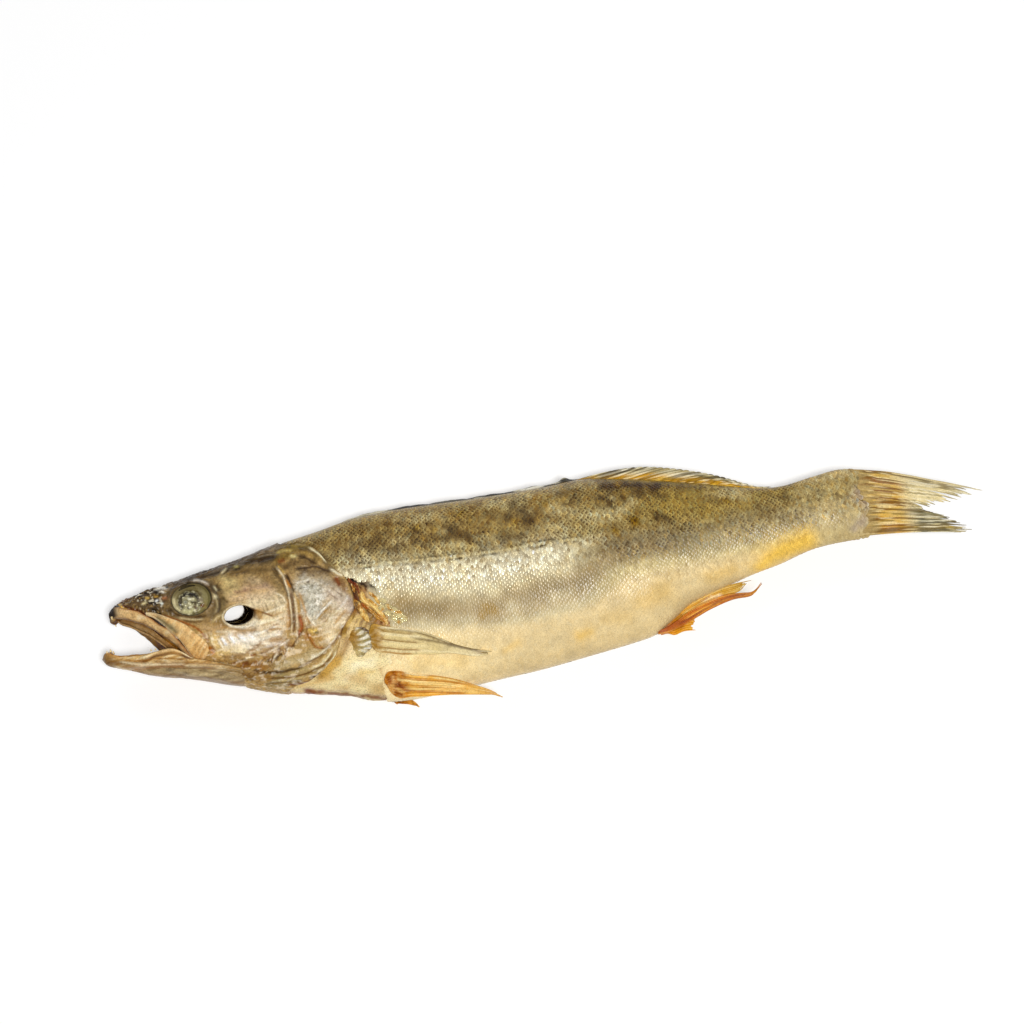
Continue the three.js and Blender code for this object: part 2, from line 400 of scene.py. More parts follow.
def dried(name, grain_per_mm, speck, bump, rough, glow=0.0, coat=0.0, shine=0.22, mottle=0.12):
    """A material that shows the painted tint. grain_per_mm is how fine its grain is, speck how dark."""
    made = bpy.data.materials.new(name)
    made.use_nodes = True
    nodes, links = made.node_tree.nodes, made.node_tree.links
    shader = nodes["Principled BSDF"]
    place = nodes.new("ShaderNodeTexCoord").outputs["Object"]

    def attribute(layer):
        node = nodes.new("ShaderNodeAttribute")
        node.attribute_name = layer
        return node.outputs["Color"]

    def noise(per_mm, detail):
        node = nodes.new("ShaderNodeTexNoise")
        set_sockets(node, {"Scale": per_mm / MM, "Detail": detail, "Roughness": 0.6})
        links.new(place, node.inputs["Vector"])
        return node.outputs["Fac"]

    def ranged(value, low, high, to_low, to_high):
        node = nodes.new("ShaderNodeMapRange")
        for socket, number in zip(node.inputs[1:5], (low, high, to_low, to_high)):
            socket.default_value = number
        links.new(value, node.inputs["Value"])
        return node.outputs["Result"]

    def maths(operation, a, b):
        node = nodes.new("ShaderNodeMath")
        node.operation = operation
        for socket, value in zip(node.inputs, (a, b)):
            if isinstance(value, float):
                socket.default_value = value
            else:
                links.new(value, socket)
        return node.outputs["Value"]

    parts = nodes.new("ShaderNodeSeparateColor")
    links.new(attribute("finish"), parts.inputs["Color"])
    specks, gloss, silver = parts.outputs

    fine = noise(grain_per_mm, 4.0)
    darker = maths("MULTIPLY", ranged(fine, 0.52, 0.68, 0.0, speck), specks)
    dark = nodes.new("ShaderNodeMix")
    dark.data_type, dark.blend_type = "RGBA", "MULTIPLY"
    links.new(darker, dark.inputs["Factor"])
    links.new(attribute("tint"), dark.inputs["A"])
    dark.inputs["B"].default_value = (*colour("#6a4a2c"), 1)
    light = nodes.new("ShaderNodeHueSaturation")
    light.inputs["Saturation"].default_value = RICHNESS
    links.new(ranged(fine, 0.3, 0.7, 1 + mottle, 1 - mottle), light.inputs["Value"])
    links.new(dark.outputs["Result"], light.inputs["Color"])
    links.new(light.outputs["Color"], shader.inputs["Base Color"])

    dull = ranged(fine, 0.3, 0.7, rough - 0.08, rough + 0.08)
    links.new(maths("SUBTRACT", dull, maths("MULTIPLY", gloss, 0.35)), shader.inputs["Roughness"])
    links.new(silver, shader.inputs["Metallic"])
    height = nodes.new("ShaderNodeBump")
    set_sockets(height, {"Strength": bump, "Distance": 0.15 * MM})
    links.new(fine, height.inputs["Height"])
    links.new(height.outputs["Normal"], shader.inputs["Normal"])
    set_sockets(shader, {
        "Specular IOR Level": shine, "Subsurface Weight": glow, "Subsurface Radius": (1.0, 0.6, 0.3),
        "Subsurface Scale": 1.5 * MM, "Coat Weight": coat, "Coat Roughness": 0.25,
    })
    return made


skin_finish = dried("dried_skin", 1.6, 0.6, 0.7, 0.55, glow=0.05, mottle=0.24)
scale_finish = dried("scales", 2.2, 0.5, 0.3, 0.45, mottle=0.2)
head_finish = dried("head_bone", 1.3, 0.6, 0.8, 0.52, glow=0.05, mottle=0.2)
hollow_finish = dried("dark_hollow", 1.3, 0.6, 0.3, 0.8, shine=0.0)
fin_finish = dried("fins", 1.8, 0.5, 0.4, 0.5, mottle=0.18)
print("materials:", [made.name for made in bpy.data.materials if made.users])

# %% [markdown]
# The broad colours of the flank are painted as a cook or a taxidermist would describe them. The back is a
# mottled olive brown. A silvery band runs under the side line, painted partly in its own colour and partly
# as a painted sheen, with a mauve grey one below it, and the belly is cream that turns yellow where fat has
# dried on it. Each colour is a band or a stain with a ragged edge.


# %% Colours of the flank
def within(value, low, high, soft):
    return ramp(value, low - soft, low + soft) * (1 - ramp(value, high - soft, high + soft))


def stain(x, y, points, width, ragged=0.0, rough=None):
    """1 on a drawn line, fading to 0 at its width. rough is noise that frays the edge."""
    away = nearest(x, y, points)[0] if len(points) > 1 else np.hypot(x - points[0][0], y - points[0][1])
    if rough is not None:
        away = away + rough * ragged * width
    return np.exp(-((np.maximum(away, 0) / width) ** 2) * 1.4)


SILVER_AND_SHEEN_BAND = places("126,13 141,11 158,8 178,5 190,5 205,5 221,7")
# centre line | width, strength
DARK_BACK = rows("""
132,30 140,29 | 3.6 0.5
157,30 160,24 | 3.2 0.5
166,26 172,25 | 3 0.4
176,27 181,24 | 3.2 0.6
185,21 189,18 | 2.6 0.5
203,30 206,34 | 3 0.55
107,30 113,26 | 2.6 0.7
141,25 146,23 | 2.4 0.5
211,28 216,25 | 3.6 0.65
199,20 205,19 | 3 0.6
126,25 130,22 | 3 0.5
250,35 262,33.6 270,32 281,29.4 | 3 1
248,30 252,27 | 2.4 0.85
260,28 268,29 279,25 | 2.2 0.75
262,15.5 | 3.2 1
252,13.5 | 2.4 0.9
273,16 279,13 | 2.6 0.8
287,28 295,26 | 2.4 0.5
232,36 238,35 | 2.6 0.6
328,14 336,13 | 3.2 0.5
322,11 330,9 | 2.6 0.4
343,13 350,12 | 2.6 0.3
360,11 366,10 | 2.4 0.3
318,6 | 2.5 0.3
300,19 308,17 | 2.6 0.35
""")
PALE_BACK = rows("""
240,22 256,22 262,25 | 3.2 0.7
254,28.5 | 1.8 0.85
150,38 172,36 | 3 0.45
124,22 136,21 | 3.5 0.5
300,22 318,18 | 3 0.4
351,8 357,9 | 2.4 0.8
196,37 214,30 | 2.4 0.35
130,31 | 3 0.3
168,21 178,20 | 2.6 0.5
218,22 230,18 | 3 0.6
160,36 168,37 | 2 0.4
224,29 233,26 | 3.2 0.8
186,21 194,20 | 2.2 0.6
243,20 255,20 | 2.6 0.5
192,37 220,37.6 246,37 | 2 0.4
147,28 153,27 | 2 0.45
168,28.6 172,28 | 1.6 0.4
306,20 314,19 | 2.2 0.6
""")
# centre line | width
RUST = rows("""
181,34.6 | 1.8
184,30 | 2
201,14 206,14.4 | 1.3
305,18 309,16 | 1.4
133,14.5 | 1.3
184,-11 188,-14 | 1.8
181,-15 | 1.3
222,31 | 2
252,13 | 1.6
262,15 | 2
226,14 | 1.5
160,33 | 1.3
205,25 | 1.6
258,36 | 2.2
218,36 222,37 | 1.5
168,30 | 1.5
""")
YELLOW_FAT = rows("""
226,-34 231,-33 | 3.6 0.6
110,-24 122,-25 | 5 0.35
189,-34 196,-31 | 2.4 0.35
258,-22 270,-20 | 6 0.35
148,-31 168,-35 | 5 0.25
240,-28 250,-30 | 4 0.2
292,-17 304,-16 | 4 0.35
""")
# centre line | width, colour, strength, raggedness
MAUVE_BAND = rows("""
141,-2 152,-7 163,-9 178,-12 190,-11 203,-8 218,-8 232,-7 243,0 258,5 274,4 | 7 #a48d62 0.85 0.35
207,-5 222,-9 236,-8 | 7 #8f7c56 0.6 0.4
146,-4 164,-8 | 4.5 #907a50 0.55 0.4
182,-16.5 204,-17 228,-15 | 4 #ab9060 0.5 0.5
144,1 152,-0.5 | 4 #a98f60 0.45 0.5
238,3 252,7 268,7 284,4 | 5 #7c6c4a 0.55 0.4
""")
FAT_PATCH = places("317,-17.5 323,-13.5 331,-10.5 341,-8.5")


CREAM_LINE = places("120,-8 150,-15 190,-20 215,-20 235,-18 255,-9 330,-9")  # the belly's cream ends here


def flank_tint(x, y, z):
    spots = columns(x, y, z)
    broad, patchy, small = grain(spots, 22, 1), grain(spots, 7, 2), grain(spots, 2.6, 3)
    under = side_line_at(x) - y
    from_back, from_belly = back_at(x) - y, y - belly_at(x)
    x, y = as_seen(x, y, z)
    front = 1 - ramp(x, 226, 258)
    tint, coat = base_coat(x, "#8b7140")
    coat(0.35 + 0.8 * broad, "#9c8650")
    coat(0.2 + 0.9 * patchy, "#72582c")
    coat((0.3 + small) * 0.5, "#a58b50")
    coat(ramp(x, 240, 290) * 0.6, "#a08439")
    coat(ramp(-from_back, -6, -1) * 0.6 * front, "#ae9353")
    coat(ramp(under + 2.5 * patchy, -12, -1) * (0.25 + 0.5 * front), "#b5a16c")
    for points, width, strength in PALE_BACK:
        coat(strength * stain(x, y, points, width, 0.5, patchy), "#c3b07c")
    for points, width, strength in DARK_BACK:
        coat(strength * stain(x, y, points, width, 0.7, patchy + 0.6 * small), "#432c0e")
    coat(ramp(under + 1.3 * small + 1.2 * patchy, -2.0, 2.4) * front, "#cfc097")
    rear = ramp(x, 226, 256)
    coat(rear * ramp(-y + 2.5 * patchy, -14, -4) * 0.85, "#93825c")
    coat(rear * ramp(-y + 1.6 * patchy + 0.6 * small, -1, 9) * 0.9, "#d0bc86")
    cream_line = np.interp(x, *np.array(CREAM_LINE).T)
    cream = ramp(cream_line + 2.5 * broad - y, -3, 5)
    coat(cream * 0.95, "#e4cb98")
    coat(cream * within(x, 118, 180, 14) * 0.85, "#f8dfa8")
    coat(ramp(-from_belly, -9, -1) * 0.35 * ramp(x, 150, 175), "#d2b57c")
    # The silvery band: partly the scales' own colour, partly a painted sheen.
    coat(0.9 * stain(x, y, SILVER_AND_SHEEN_BAND, 8.2, 0.3, patchy) * front, "#dfd4b4")
    for points, width, code, strength, ragged in MAUVE_BAND:
        coat(strength * stain(x, y, points, width, ragged, patchy), code)
    for points, width, strength in YELLOW_FAT:
        coat(strength * stain(x, y, points, width, 0.5, patchy), "#e8b850")
    coat(ramp(x, 334, 352) * 0.85, "#c3ae7c")
    coat(ramp(x, 338, 350) * ramp(y + 2 * patchy, 4, 9) * (y < 18) * 0.5, "#94804a")
    coat(0.5 * ramp(x, 286, 300) * within(y, -4, 4, 2) * (x < 330), "#c2ac76")
    coat(0.95 * stain(x, y, FAT_PATCH, 7.0, 0.3, patchy), "#efc35a")
    coat(0.8 * stain(x, y, [(370, 9), (374, 4)], 3.5, 0.5, small), "#b5a08a")
    coat(0.8 * stain(x, y, [(366, -8), (371, -4)], 3, 0.5, small), "#a99680")
    for points, width in RUST:
        coat(0.5 * stain(x, y, points, 1.1 * width, 1.1, small + 0.6 * patchy), "#a8801f")
    line = (1 - 0.75 * ramp(x, 228, 246)) * (1 - ramp(x, 345, 362)) * ramp(x, 116, 128)
    coat(bell(under, 0.7) * line * (0.35 + 0.3 * small), "#d6c48c")
    gap = bell(np.abs(under + 0.3 * small) - 1.2, 0.45)
    coat(gap * line * np.clip(0.55 + 0.9 * small, 0, 1), "#3d2d10")
    return tint * (1 + 0.1 * small + 0.07 * patchy)[:, None]


def flank_finish(x, y, z):
    under = side_line_at(x) - y
    specks = 0.2 + 0.8 * (1 - ramp(under, 0, 16))
    gloss = 0.5 + 0.25 * grain(columns(x, y, z), 6, 5)
    silver = 0.15 * stain(*as_seen(x, y, z), SILVER_AND_SHEEN_BAND, 10)
    return surface(x, specks, gloss, silver)


# %% [markdown]
# The trunk's skin is one tube from behind the gill covers to the root of the tail. Near the head it sinks
# a little, so that the gill covers lie over it. Along the belly the gutting cut shows as a ragged brown edge.


# %% Trunk skin
# degrees from the back, and where the head's skin ends there
HEAD_REAR = line_through("""0,93 20,94 32,99 46,109.5 59,113.5 69,117.5 76,121.5 84,123.5 95,124 101,122
    109,117 117,114.5 128,111 135,106.5 144,101 152,95.5 158,90 168,86 180,85""")


def head_rear(turn):
    return HEAD_REAR(np.degrees(np.pi - np.abs(np.pi - turn)))


GUTTED = places("93,-35.2 106,-39 118,-42.3 131,-46.5")
ORANGE_PATCH = places("126.5,8 126,0 129,-5 134,-9 137.5,-11")
GILL_GAP = places("118,18.6 121.4,15.4 125,12.2 128,10.4 132,9.4 136.4,7.8")
# centre line | width, colour, strength
BREAST_STAINS = rows("""
119.5,-5 118.6,-10 117,-14 113,-20.6 107,-25.6 100,-30 | 2.3 #9c7430 0.9
121,-22 127,-25.6 | 1.8 #c9a259 0.5
127,-12 131,-16 130,-21 | 3 #9c7028 0.85
112,-33 117,-29 126,-29.4 | 2.4 #fdf0c4 0.7
136,-29.6 160,-33.4 | 3 #fff3cc 0.85
127,-41 131,-38 | 2.6 #b3925c 0.7
88,-30 98,-32 106,-31 | 3 #c9953f 0.6
86,-35 100,-37 | 2.6 #a8692a 0.7
104,-27 110,-24 | 3 #d9ad58 0.7
112,-31 120,-35 | 3.4 #c08f4a 0.45
116,-27 128,-26 | 2.6 #fbefc4 0.8
98,-40 112,-41 | 3 #d3b678 0.6
124,-40 130,-44 | 4 #cfae72 0.6
129,-30 131,-34 | 1.6 #b8762c 0.6
106,-35 112,-37 | 2 #b98542 0.5
120,-31 126,-32 | 1.8 #e0b862 0.5
92,-34 96,-36 | 1.2 #8e4f1e 0.6
""")


def outward(x, turn):
    """The direction that points straight out of the body, in mm: x, y and z."""
    step, small_turn = 0.4, 0.01
    y0, z0 = section_at(x - step, turn)
    y1, z1 = section_at(x + step, turn)
    ya, za = section_at(x, turn - small_turn)
    yb, zb = section_at(x, turn + small_turn)
    along = columns(np.full(x.shape, 2 * step), y1 - y0, z1 - z0)
    round_it = columns(np.zeros(x.shape), yb - ya, zb - za)
    out = np.cross(round_it, along)
    return out / np.maximum(np.linalg.norm(out, axis=1), 1e-9)[:, None]


def tail_root(y):
    """Where the fleshy tail root ends: a bulging, ragged line."""
    ragged = 376 - 5 * ramp(-y, 2, 13) + 0.9 * np.sin(2.1 * y) + 0.8 * np.sin(5.3 * y + 1)
    return ragged + 0.5 * np.sin(9.1 * y)


def trunk_relief(x, y, z):
    spots = columns(x, y, z)
    seen_x, seen_y = as_seen(x, y, z)
    relief = 0.1 * grain(spots, 5, 11) + 0.06 * grain(spots, 1.7, 12) - 0.3
    torn = stain(seen_x, seen_y, ORANGE_PATCH, 4)
    relief -= 1.0 * torn * (0.6 + grain(spots, 1.5, 13))
    relief -= 2.2 * stain(seen_x, seen_y, GILL_GAP, 2.2)
    relief -= 0.8 * bell(nearest(seen_x, seen_y, GUTTED)[0], 1.2)
    breast = within(seen_x, 84, 132, 4) * ramp(-seen_y, 22, 28)
    relief += breast * (0.35 * grain(spots * np.array([0.35, 1, 1]), 2.6, 15) + 0.2 * grain(spots, 1.3, 16))
    rays = np.sin(2.4 * y + 0.02 * x) * ramp(x, 364, 374)
    return relief + 0.12 * rays


def trunk_wrap(u, v):
    turn = 2 * np.pi * v
    start = head_rear(turn) - 5
    end = tail_root(section_at(np.full(u.shape, 375.0), turn)[0])
    x = start + (end - start) * u
    y, z = section_at(x, turn)
    out = outward(x, turn)
    lift = trunk_relief(x, y, z) - 1.2 * (1 - ramp(x - start, 3, 7))
    z = middle(x) + (z - middle(x)) * (1 - 0.74 * ramp(end - x, 14, 0))
    lift = lift - 0.5 * ramp(end - x, 1.5, 0)
    return x + out[:, 0] * lift, y + out[:, 1] * lift, np.maximum(z + out[:, 2] * lift, REST)


def paint_trunk(x, y, z):
    tint, gloss = flank_tint(x, y, z), flank_finish(x, y, z)
    coat = brush(tint)
    spots = columns(x, y, z)
    small, patchy = grain(spots, 1.4, 14), grain(spots, 5, 17)
    # On the back the skin under the scales is painted darker: painted shade in the gaps between the scales.
    grooves = 0.6 * (1 - ramp(side_line_at(x) - y, 0, 12)) * (x > 118)
    coat(grooves, "#40301a")
    root = ramp(tail_root(y) - x, 9, 1)
    x, y = as_seen(x, y, z)
    coat(root * 0.8, "#b99a5e")
    coat(root * (0.5 + 0.5 * np.sin(2.4 * y + 2 * patchy)) * 0.5, "#9a7436")
    coat(root * ramp(small, 0.2, 0.6) * 0.5, "#c9b8a0")
    breast = within(x, 84, 136, 5) * ramp(-y, 20, 24)
    coat(breast, "#f2dfa8")
    coat(breast * creases(spots * np.array([0.4, 1, 1]), 2.4, 18) * 0.5, "#c79f58")
    for points, width, code, strength in BREAST_STAINS:
        coat(strength * stain(x, y, points, width, 0.7, patchy), code)
    torn = stain(x, y, ORANGE_PATCH, 5, 0.4, small)
    coat(torn, "#ad7430")
    coat(torn * (small > 0.3) * 0.8, "#d9aa5e")
    coat(torn * (small < -0.35) * 0.8, "#5d2d10")
    coat(stain(x, y, [(126, 1), (127, -6), (124, -8)], 3.2, 0.4, small), "#8a7445")
    hollow = within(x, 112, 131, 2) * within(y, -13, -1, 1.5)
    coat(hollow * 0.95, "#96712f")
    coat(hollow * ramp(patchy + small, 0.0, 0.4) * 0.85, "#4a3010")
    coat(hollow * ramp(small - patchy, 0.2, 0.5) * 0.8, "#dcbc74")
    shadow = (1 - ramp(x + small, 123, 128)) * within(y, -3, 15, 1.5)
    coat(shadow * 0.9, "#62301a")
    coat(shadow * ramp(patchy + small, 0.1, 0.5) * 0.8, "#2c1009")
    coat(shadow * ramp(small - patchy, 0.3, 0.6) * 0.7, "#a8743a")
    # The gap behind the gill cover is sunk in and painted near black, as painted shade in the gap.
    coat(stain(x, y, GILL_GAP, 1.9, 0.5, small), "#1c0b05")
    coat(0.9 * stain(x, y, GUTTED, 1.5, 0.6, small), "#7d431a")
    gloss[:, 0] = 0.5
    gloss[:, 2] = 0
    return tint, gloss


trunk = sheet(590, 160, trunk_wrap, sew=True)
piece("trunk_skin", trunk, paint_trunk, skin_finish, "dried_skin")

# %% [markdown]
# A zander has about ninety scales in each row. They are tiny, and still they make the fish: each one is
# tucked under the one before it, and lifts its rounded rear edge a little to the light. One scale is a low
# fan of a dozen triangles. Arrays place some thousands of them along rows that follow the side line, and
# join them into one mesh for each side.


# %% Scale rows
ROW_STEP, SCALE_STEP = 1.15, 2.25  # mm between rows, and between the scales of one row
WIDEST = 180.0  # where the trunk is at its fullest
FIRST_SCALE, LAST_SCALE = 90.0, 373.5
MOST_ROWS = 80  # above or below the side line
BARE = 0.6  # mm along the back and the belly that stay free


def half_round(x, samples=181):
    """Turn and length along the skin from the back, at each station."""
    turn = np.linspace(0, np.pi, samples)
    y, z = section_at(x[:, None], turn[None, :])
    steps = np.hypot(np.diff(y, axis=1), np.diff(z, axis=1))
    return turn, np.concatenate([np.zeros((len(x), 1)), np.cumsum(steps, axis=1)], axis=1), y


def scale_rows():
    """Station, turn and size of every scale of one side."""
    full = half_round(np.array([WIDEST]))[1][0, -1]
    stations, x = [], FIRST_SCALE
    while x < LAST_SCALE:
        size = (half_round(np.array([x]))[1][0, -1] / full) ** 0.12
        stations.append((x, size))
        x += SCALE_STEP * size / 2
    stations = np.array(stations)
    turn, lengths, ys = half_round(stations[:, 0])
    xs, turns, sizes = [], [], []
    for i, (x, size) in enumerate(stations):
        on_line = np.interp(-side_line_at(x), -ys[i], lengths[i])
        rows = np.arange(-MOST_ROWS, MOST_ROWS + 1)
        rows = rows[(rows + i) % 2 == 0]
        places = on_line + rows * ROW_STEP * size
        places = places[(places > BARE) & (places < lengths[i, -1] - BARE)]
        turns.append(np.interp(places, lengths[i], turn))
        xs.append(np.full(len(places), x))
        sizes.append(np.full(len(places), size))
    return np.concatenate(xs), np.concatenate(turns), np.concatenate(sizes)


scale_x, scale_turn, scale_size = scale_rows()
print("scales in the rows of one side:", len(scale_x))

# %% [markdown]
# Not every place has scales. The head has none, the skin behind the gill cover is torn, and the breast is
# smooth. So the rows are thinned there, with a ragged edge.

# %% Where scales grow
NAPE_EDGE = places("""88,40 95,36.5 102.5,35.5 107,33 110.5,30 114,25 117.5,19.5 121,15 127,11 133,8.5 136,5
    132,1 134,-4 139,-9 140,-16 142,-24 136,-30 130,-36 131,-47""")


def behind(x, y, edge):
    """True where a place lies behind a line that runs from the back to the belly."""
    line = flowing(edge)
    return x > np.interp(-y, -line[:, 1], line[:, 0])


def wear(x, y):
    return grain(columns(x, y, 0 * x), 2.5, 21)


def grows(x, turn):
    y = section_at(x, turn)[0]
    lost = stain(x, y, [(230, 29), (234, 28)], 1.3)
    root = x + 3.5 * wear(x, y) < tail_root(y) - 4
    return behind(x + 1.2 * wear(x, y), y, NAPE_EDGE) & (lost < 0.45) & root


chance = np.random.default_rng(17)
spots = columns(scale_x, 25 * scale_turn, 0 * scale_x)
scale_x = scale_x + 0.5 * grain(spots, 6, 22) + chance.normal(0, 0.1, len(scale_x))
scale_turn = scale_turn + (0.45 * grain(spots, 7, 23) + chance.normal(0, 0.09, len(scale_turn))) / 24
keep = grows(scale_x, scale_turn)
scale_x, scale_turn, scale_size = scale_x[keep], scale_turn[keep], scale_size[keep]
print("scales left on one side:", len(scale_x))

# %% [markdown]
# The tile of one scale: a front edge that is tucked in, a crown, and a rounded rear edge with a small
# skirt below it, which throws the fine dark line between the rows. The tucked front and the skirt are also
# painted darker, as painted shade.

# %% One scale
FRONT, REAR, HALF = -0.62, 0.60, 0.62  # of the scale's step, and of twice the row's step
TILE = np.array([
    (FRONT, 0.0, -0.9), (-0.42, -0.52, -0.6), (-0.42, 0.52, -0.6), (0.02, -HALF, 0.0), (0.02, HALF, 0.0),
    (0.38, -0.42, 0.72), (0.38, 0.42, 0.72), (REAR, 0.0, 1.0), (0.1, 0.0, 0.85),
    (0.42, -0.45, -1.0), (0.42, 0.45, -1.0), (0.66, 0.0, -1.0),
])
# NET and PEARL both paint shade on each tile's tucked front and on its skirt.
NET = np.array([0.4, 0.5, 0.5, 1.15, 1.15, 1.5, 1.5, 1.65, 0.36, 0.4, 0.4, 0.4])  # dark middle, pale rim
# pale middle, and painted shade on the tucked front and the skirt
PEARL = np.array([0.7, 0.82, 0.82, 0.97, 0.97, 1.08, 1.08, 1.14, 1.06, 0.55, 0.55, 0.55])
TILE_FACES = np.array([
    (0, 8, 2), (0, 1, 8), (1, 3, 8), (3, 5, 8), (5, 7, 8), (7, 6, 8), (6, 4, 8), (4, 2, 8),
    (5, 9, 11), (5, 11, 7), (7, 11, 10), (7, 10, 6),
])


def scale_tiles(x, turn, size, side, seed):
    """Vertices of all scales of one side: an array of scales by the tile's corners by x, y and z."""
    chance = np.random.default_rng(seed)
    y, z = section_at(x, turn)
    out = outward(x, turn)
    rise = section_at(x + 0.5, turn)[1] - section_at(x - 0.5, turn)[1]
    ahead = columns(np.ones(x.shape), (side_line_at(x + 1) - side_line_at(x - 1)) / 2, rise)
    ahead -= out * np.sum(out * ahead, axis=1)[:, None]
    ahead /= np.linalg.norm(ahead, axis=1)[:, None]
    across = np.cross(out, ahead)
    tilt = chance.normal(0, 0.2, (2, len(x)))
    out_tilted = out + ahead * tilt[0][:, None] + across * tilt[1][:, None]
    height = 0.2 - 0.1 * ramp(side_line_at(x) - y, 10, 30)
    height = height * (1 - 0.6 * ramp(x, 345, 370))
    length = SCALE_STEP * size * chance.uniform(0.9, 1.1, len(x))
    width = 2 * ROW_STEP * size * chance.uniform(0.9, 1.1, len(x))
    lean = chance.normal(0, 0.1, len(x))
    a, b, c = TILE.T
    corners = (
        columns(x, y, z)[:, None, :]
        + ahead[:, None, :] * ((a + lean[:, None] * b) * length[:, None])[:, :, None]
        + across[:, None, :] * (b * width[:, None])[:, :, None]
        + out_tilted[:, None, :] * (c * height[:, None])[:, :, None]
    )
    if side < 0:
        corners[..., 2] = other_side(corners[..., 0], corners[..., 2], -1)
    return corners


def scales(side, name, seed):
    tiles = scale_tiles(scale_x, scale_turn, scale_size, side, seed)
    count, corners = tiles.shape[:2]
    faces = (TILE_FACES[None] + corners * np.arange(count)[:, None, None]).reshape(-1, 3)
    if side < 0:
        faces = faces[:, ::-1]
    mesh = bpy.data.meshes.new(name)
    mesh.from_pydata(in_metres(*tiles.reshape(-1, 3).T), [], faces)
    chance = np.random.default_rng(seed + 1)
    y = section_at(scale_x, scale_turn)[0]
    broad = np.clip(chance.normal(1, 0.2, count), 0.5, 1.6)
    warm = chance.normal(0, 0.09, count)
    glint = np.clip(chance.normal(0, 0.22, count), -0.4, 0.5)
    spots = columns(scale_x, y, 0 * y)
    net = np.clip(0.7 + 0.5 * grain(spots, 7, 24) + chance.normal(0, 0.25, count), 0.1, 1.3)
    net = (net * (1 - 0.6 * ramp(scale_x, 335, 360)))[:, None]
    calm = 0.55 * ramp(scale_x, 235, 262) * ramp(-y, -2, 5)
    silver = stain(scale_x, y, SILVER_AND_SHEEN_BAND, 9) * (1 - ramp(scale_x, 228, 245))

    def painter(px, py, pz):
        under = side_line_at(scale_x) - y - 13 * ramp(scale_x, 232, 258)
        back = (1 - ramp(under, -3, 3))[:, None]
        fade = ((1 - 0.62 * ramp(under, 8, 24)) * (1 - calm))[:, None]
        tint = flank_tint(px, py, np.where(pz > middle(px), pz, 2 * middle(px) - pz))
        # shade is each tile's pattern together with its painted shade; glint adds painted glints to some
        # scales of the silvery band.
        shade = (1 + (NET[None] - 1) * net) * back + (1 + (PEARL[None] - 1) * fade) * (1 - back)
        uneven = (1 - 0.9 * ramp(under, 5, 18)) * (1 - calm)
        shade = shade * (1 + ((broad - 1) * uneven)[:, None])
        shade = shade * (1 + (glint * silver)[:, None])
        shade = shade * (1 + chance.normal(0, 0.08, shade.shape) * (0.4 + 0.6 * back))
        tint = tint * np.maximum(shade.reshape(-1, 1), 0.05) ** np.array([0.85, 1.0, 1.2])
        hue = np.repeat(warm * np.clip(back + 0.5 * fade, 0.15, 1)[:, 0], corners)
        tint[:, 0] *= 1 + hue * 0.5
        tint[:, 2] *= 1 - hue
        return tint, flank_finish(px, py, pz)

    return finish(name, mesh, painter, scale_finish, "dried_skin")


scales(1, "scales_left", 31)
scales(-1, "scales_right", 41)

# %% [markdown]
# The head is where most of the carving is. Its skin is one fine tube from the snout to the free edge of the
# gill covers. The edge runs as on the real fish: from the nape down round the big gill cover, and forward
# again under the throat. There the skin turns in sharply, so that the cover stands off the trunk.

# %% Outline of the head
SNOUT = 6.5
LEFT_SHARE = 0.72  # of the rows go to the side that lies up
EYE = (47.9, 17.5)
EYE_LONG, EYE_HIGH, EYE_TURN = 9.8, 8.1, -0.19
HOLE_LEFT, HOLE_RIGHT = (69.2, 4.9), (62.0, 13.4)
HOLE_LONG, HOLE_HIGH, HOLE_TURN = 6.9, 4.6, 0.02
HOLE_KEPT = 0.22  # nearer the middle than this, the hole's mesh is cut away


def head_turn(v):
    left = np.pi * v / LEFT_SHARE
    right = np.pi + np.pi * (v - LEFT_SHARE) / (1 - LEFT_SHARE)
    return np.where(v < LEFT_SHARE, left, right)


# %% [markdown]
# Bones, folds and wrinkles are drawn as lines over the side view. `ridge` raises a rounded line, and `brim`
# raises everything on one side of a line, falling away gently: that is how one bone plate laps over the
# next. Both fade out at the ends of their line.


# %% Ridges and brims
def close_to(x, y, points, margin):
    low, high = np.min(points, axis=0) - margin, np.max(points, axis=0) + margin
    return (x > low[0]) & (x < high[0]) & (y > low[1]) & (y < high[1])


def mound(x, y, top_x, top_y, wide, high):
    return np.exp(-(((x - top_x) / wide) ** 2 + ((y - top_y) / high) ** 2))


def ends_of(share, fade):
    return ramp(np.minimum(share, 1 - share), 0, fade) if fade else 1


def ridge(x, y, points, width, fade=0.12):
    made = np.zeros(x.shape)
    here = close_to(x, y, points, 3 * width)
    away, _, share = nearest(x[here], y[here], points)
    made[here] = bell(away, width) * ends_of(share, fade)
    return made


def brim(x, y, points, reach, width=0.35, fade=0.1):
    """The plate that ends at the line lies on the line's left."""
    made = np.zeros(x.shape)
    here = close_to(x, y, points, 3 * reach)
    away, side, share = nearest(x[here], y[here], points)
    signed = away * side
    plate = ramp(signed, -width, width) * np.exp(-np.maximum(signed, 0) / reach)
    made[here] = plate * ends_of(share, fade)
    return made
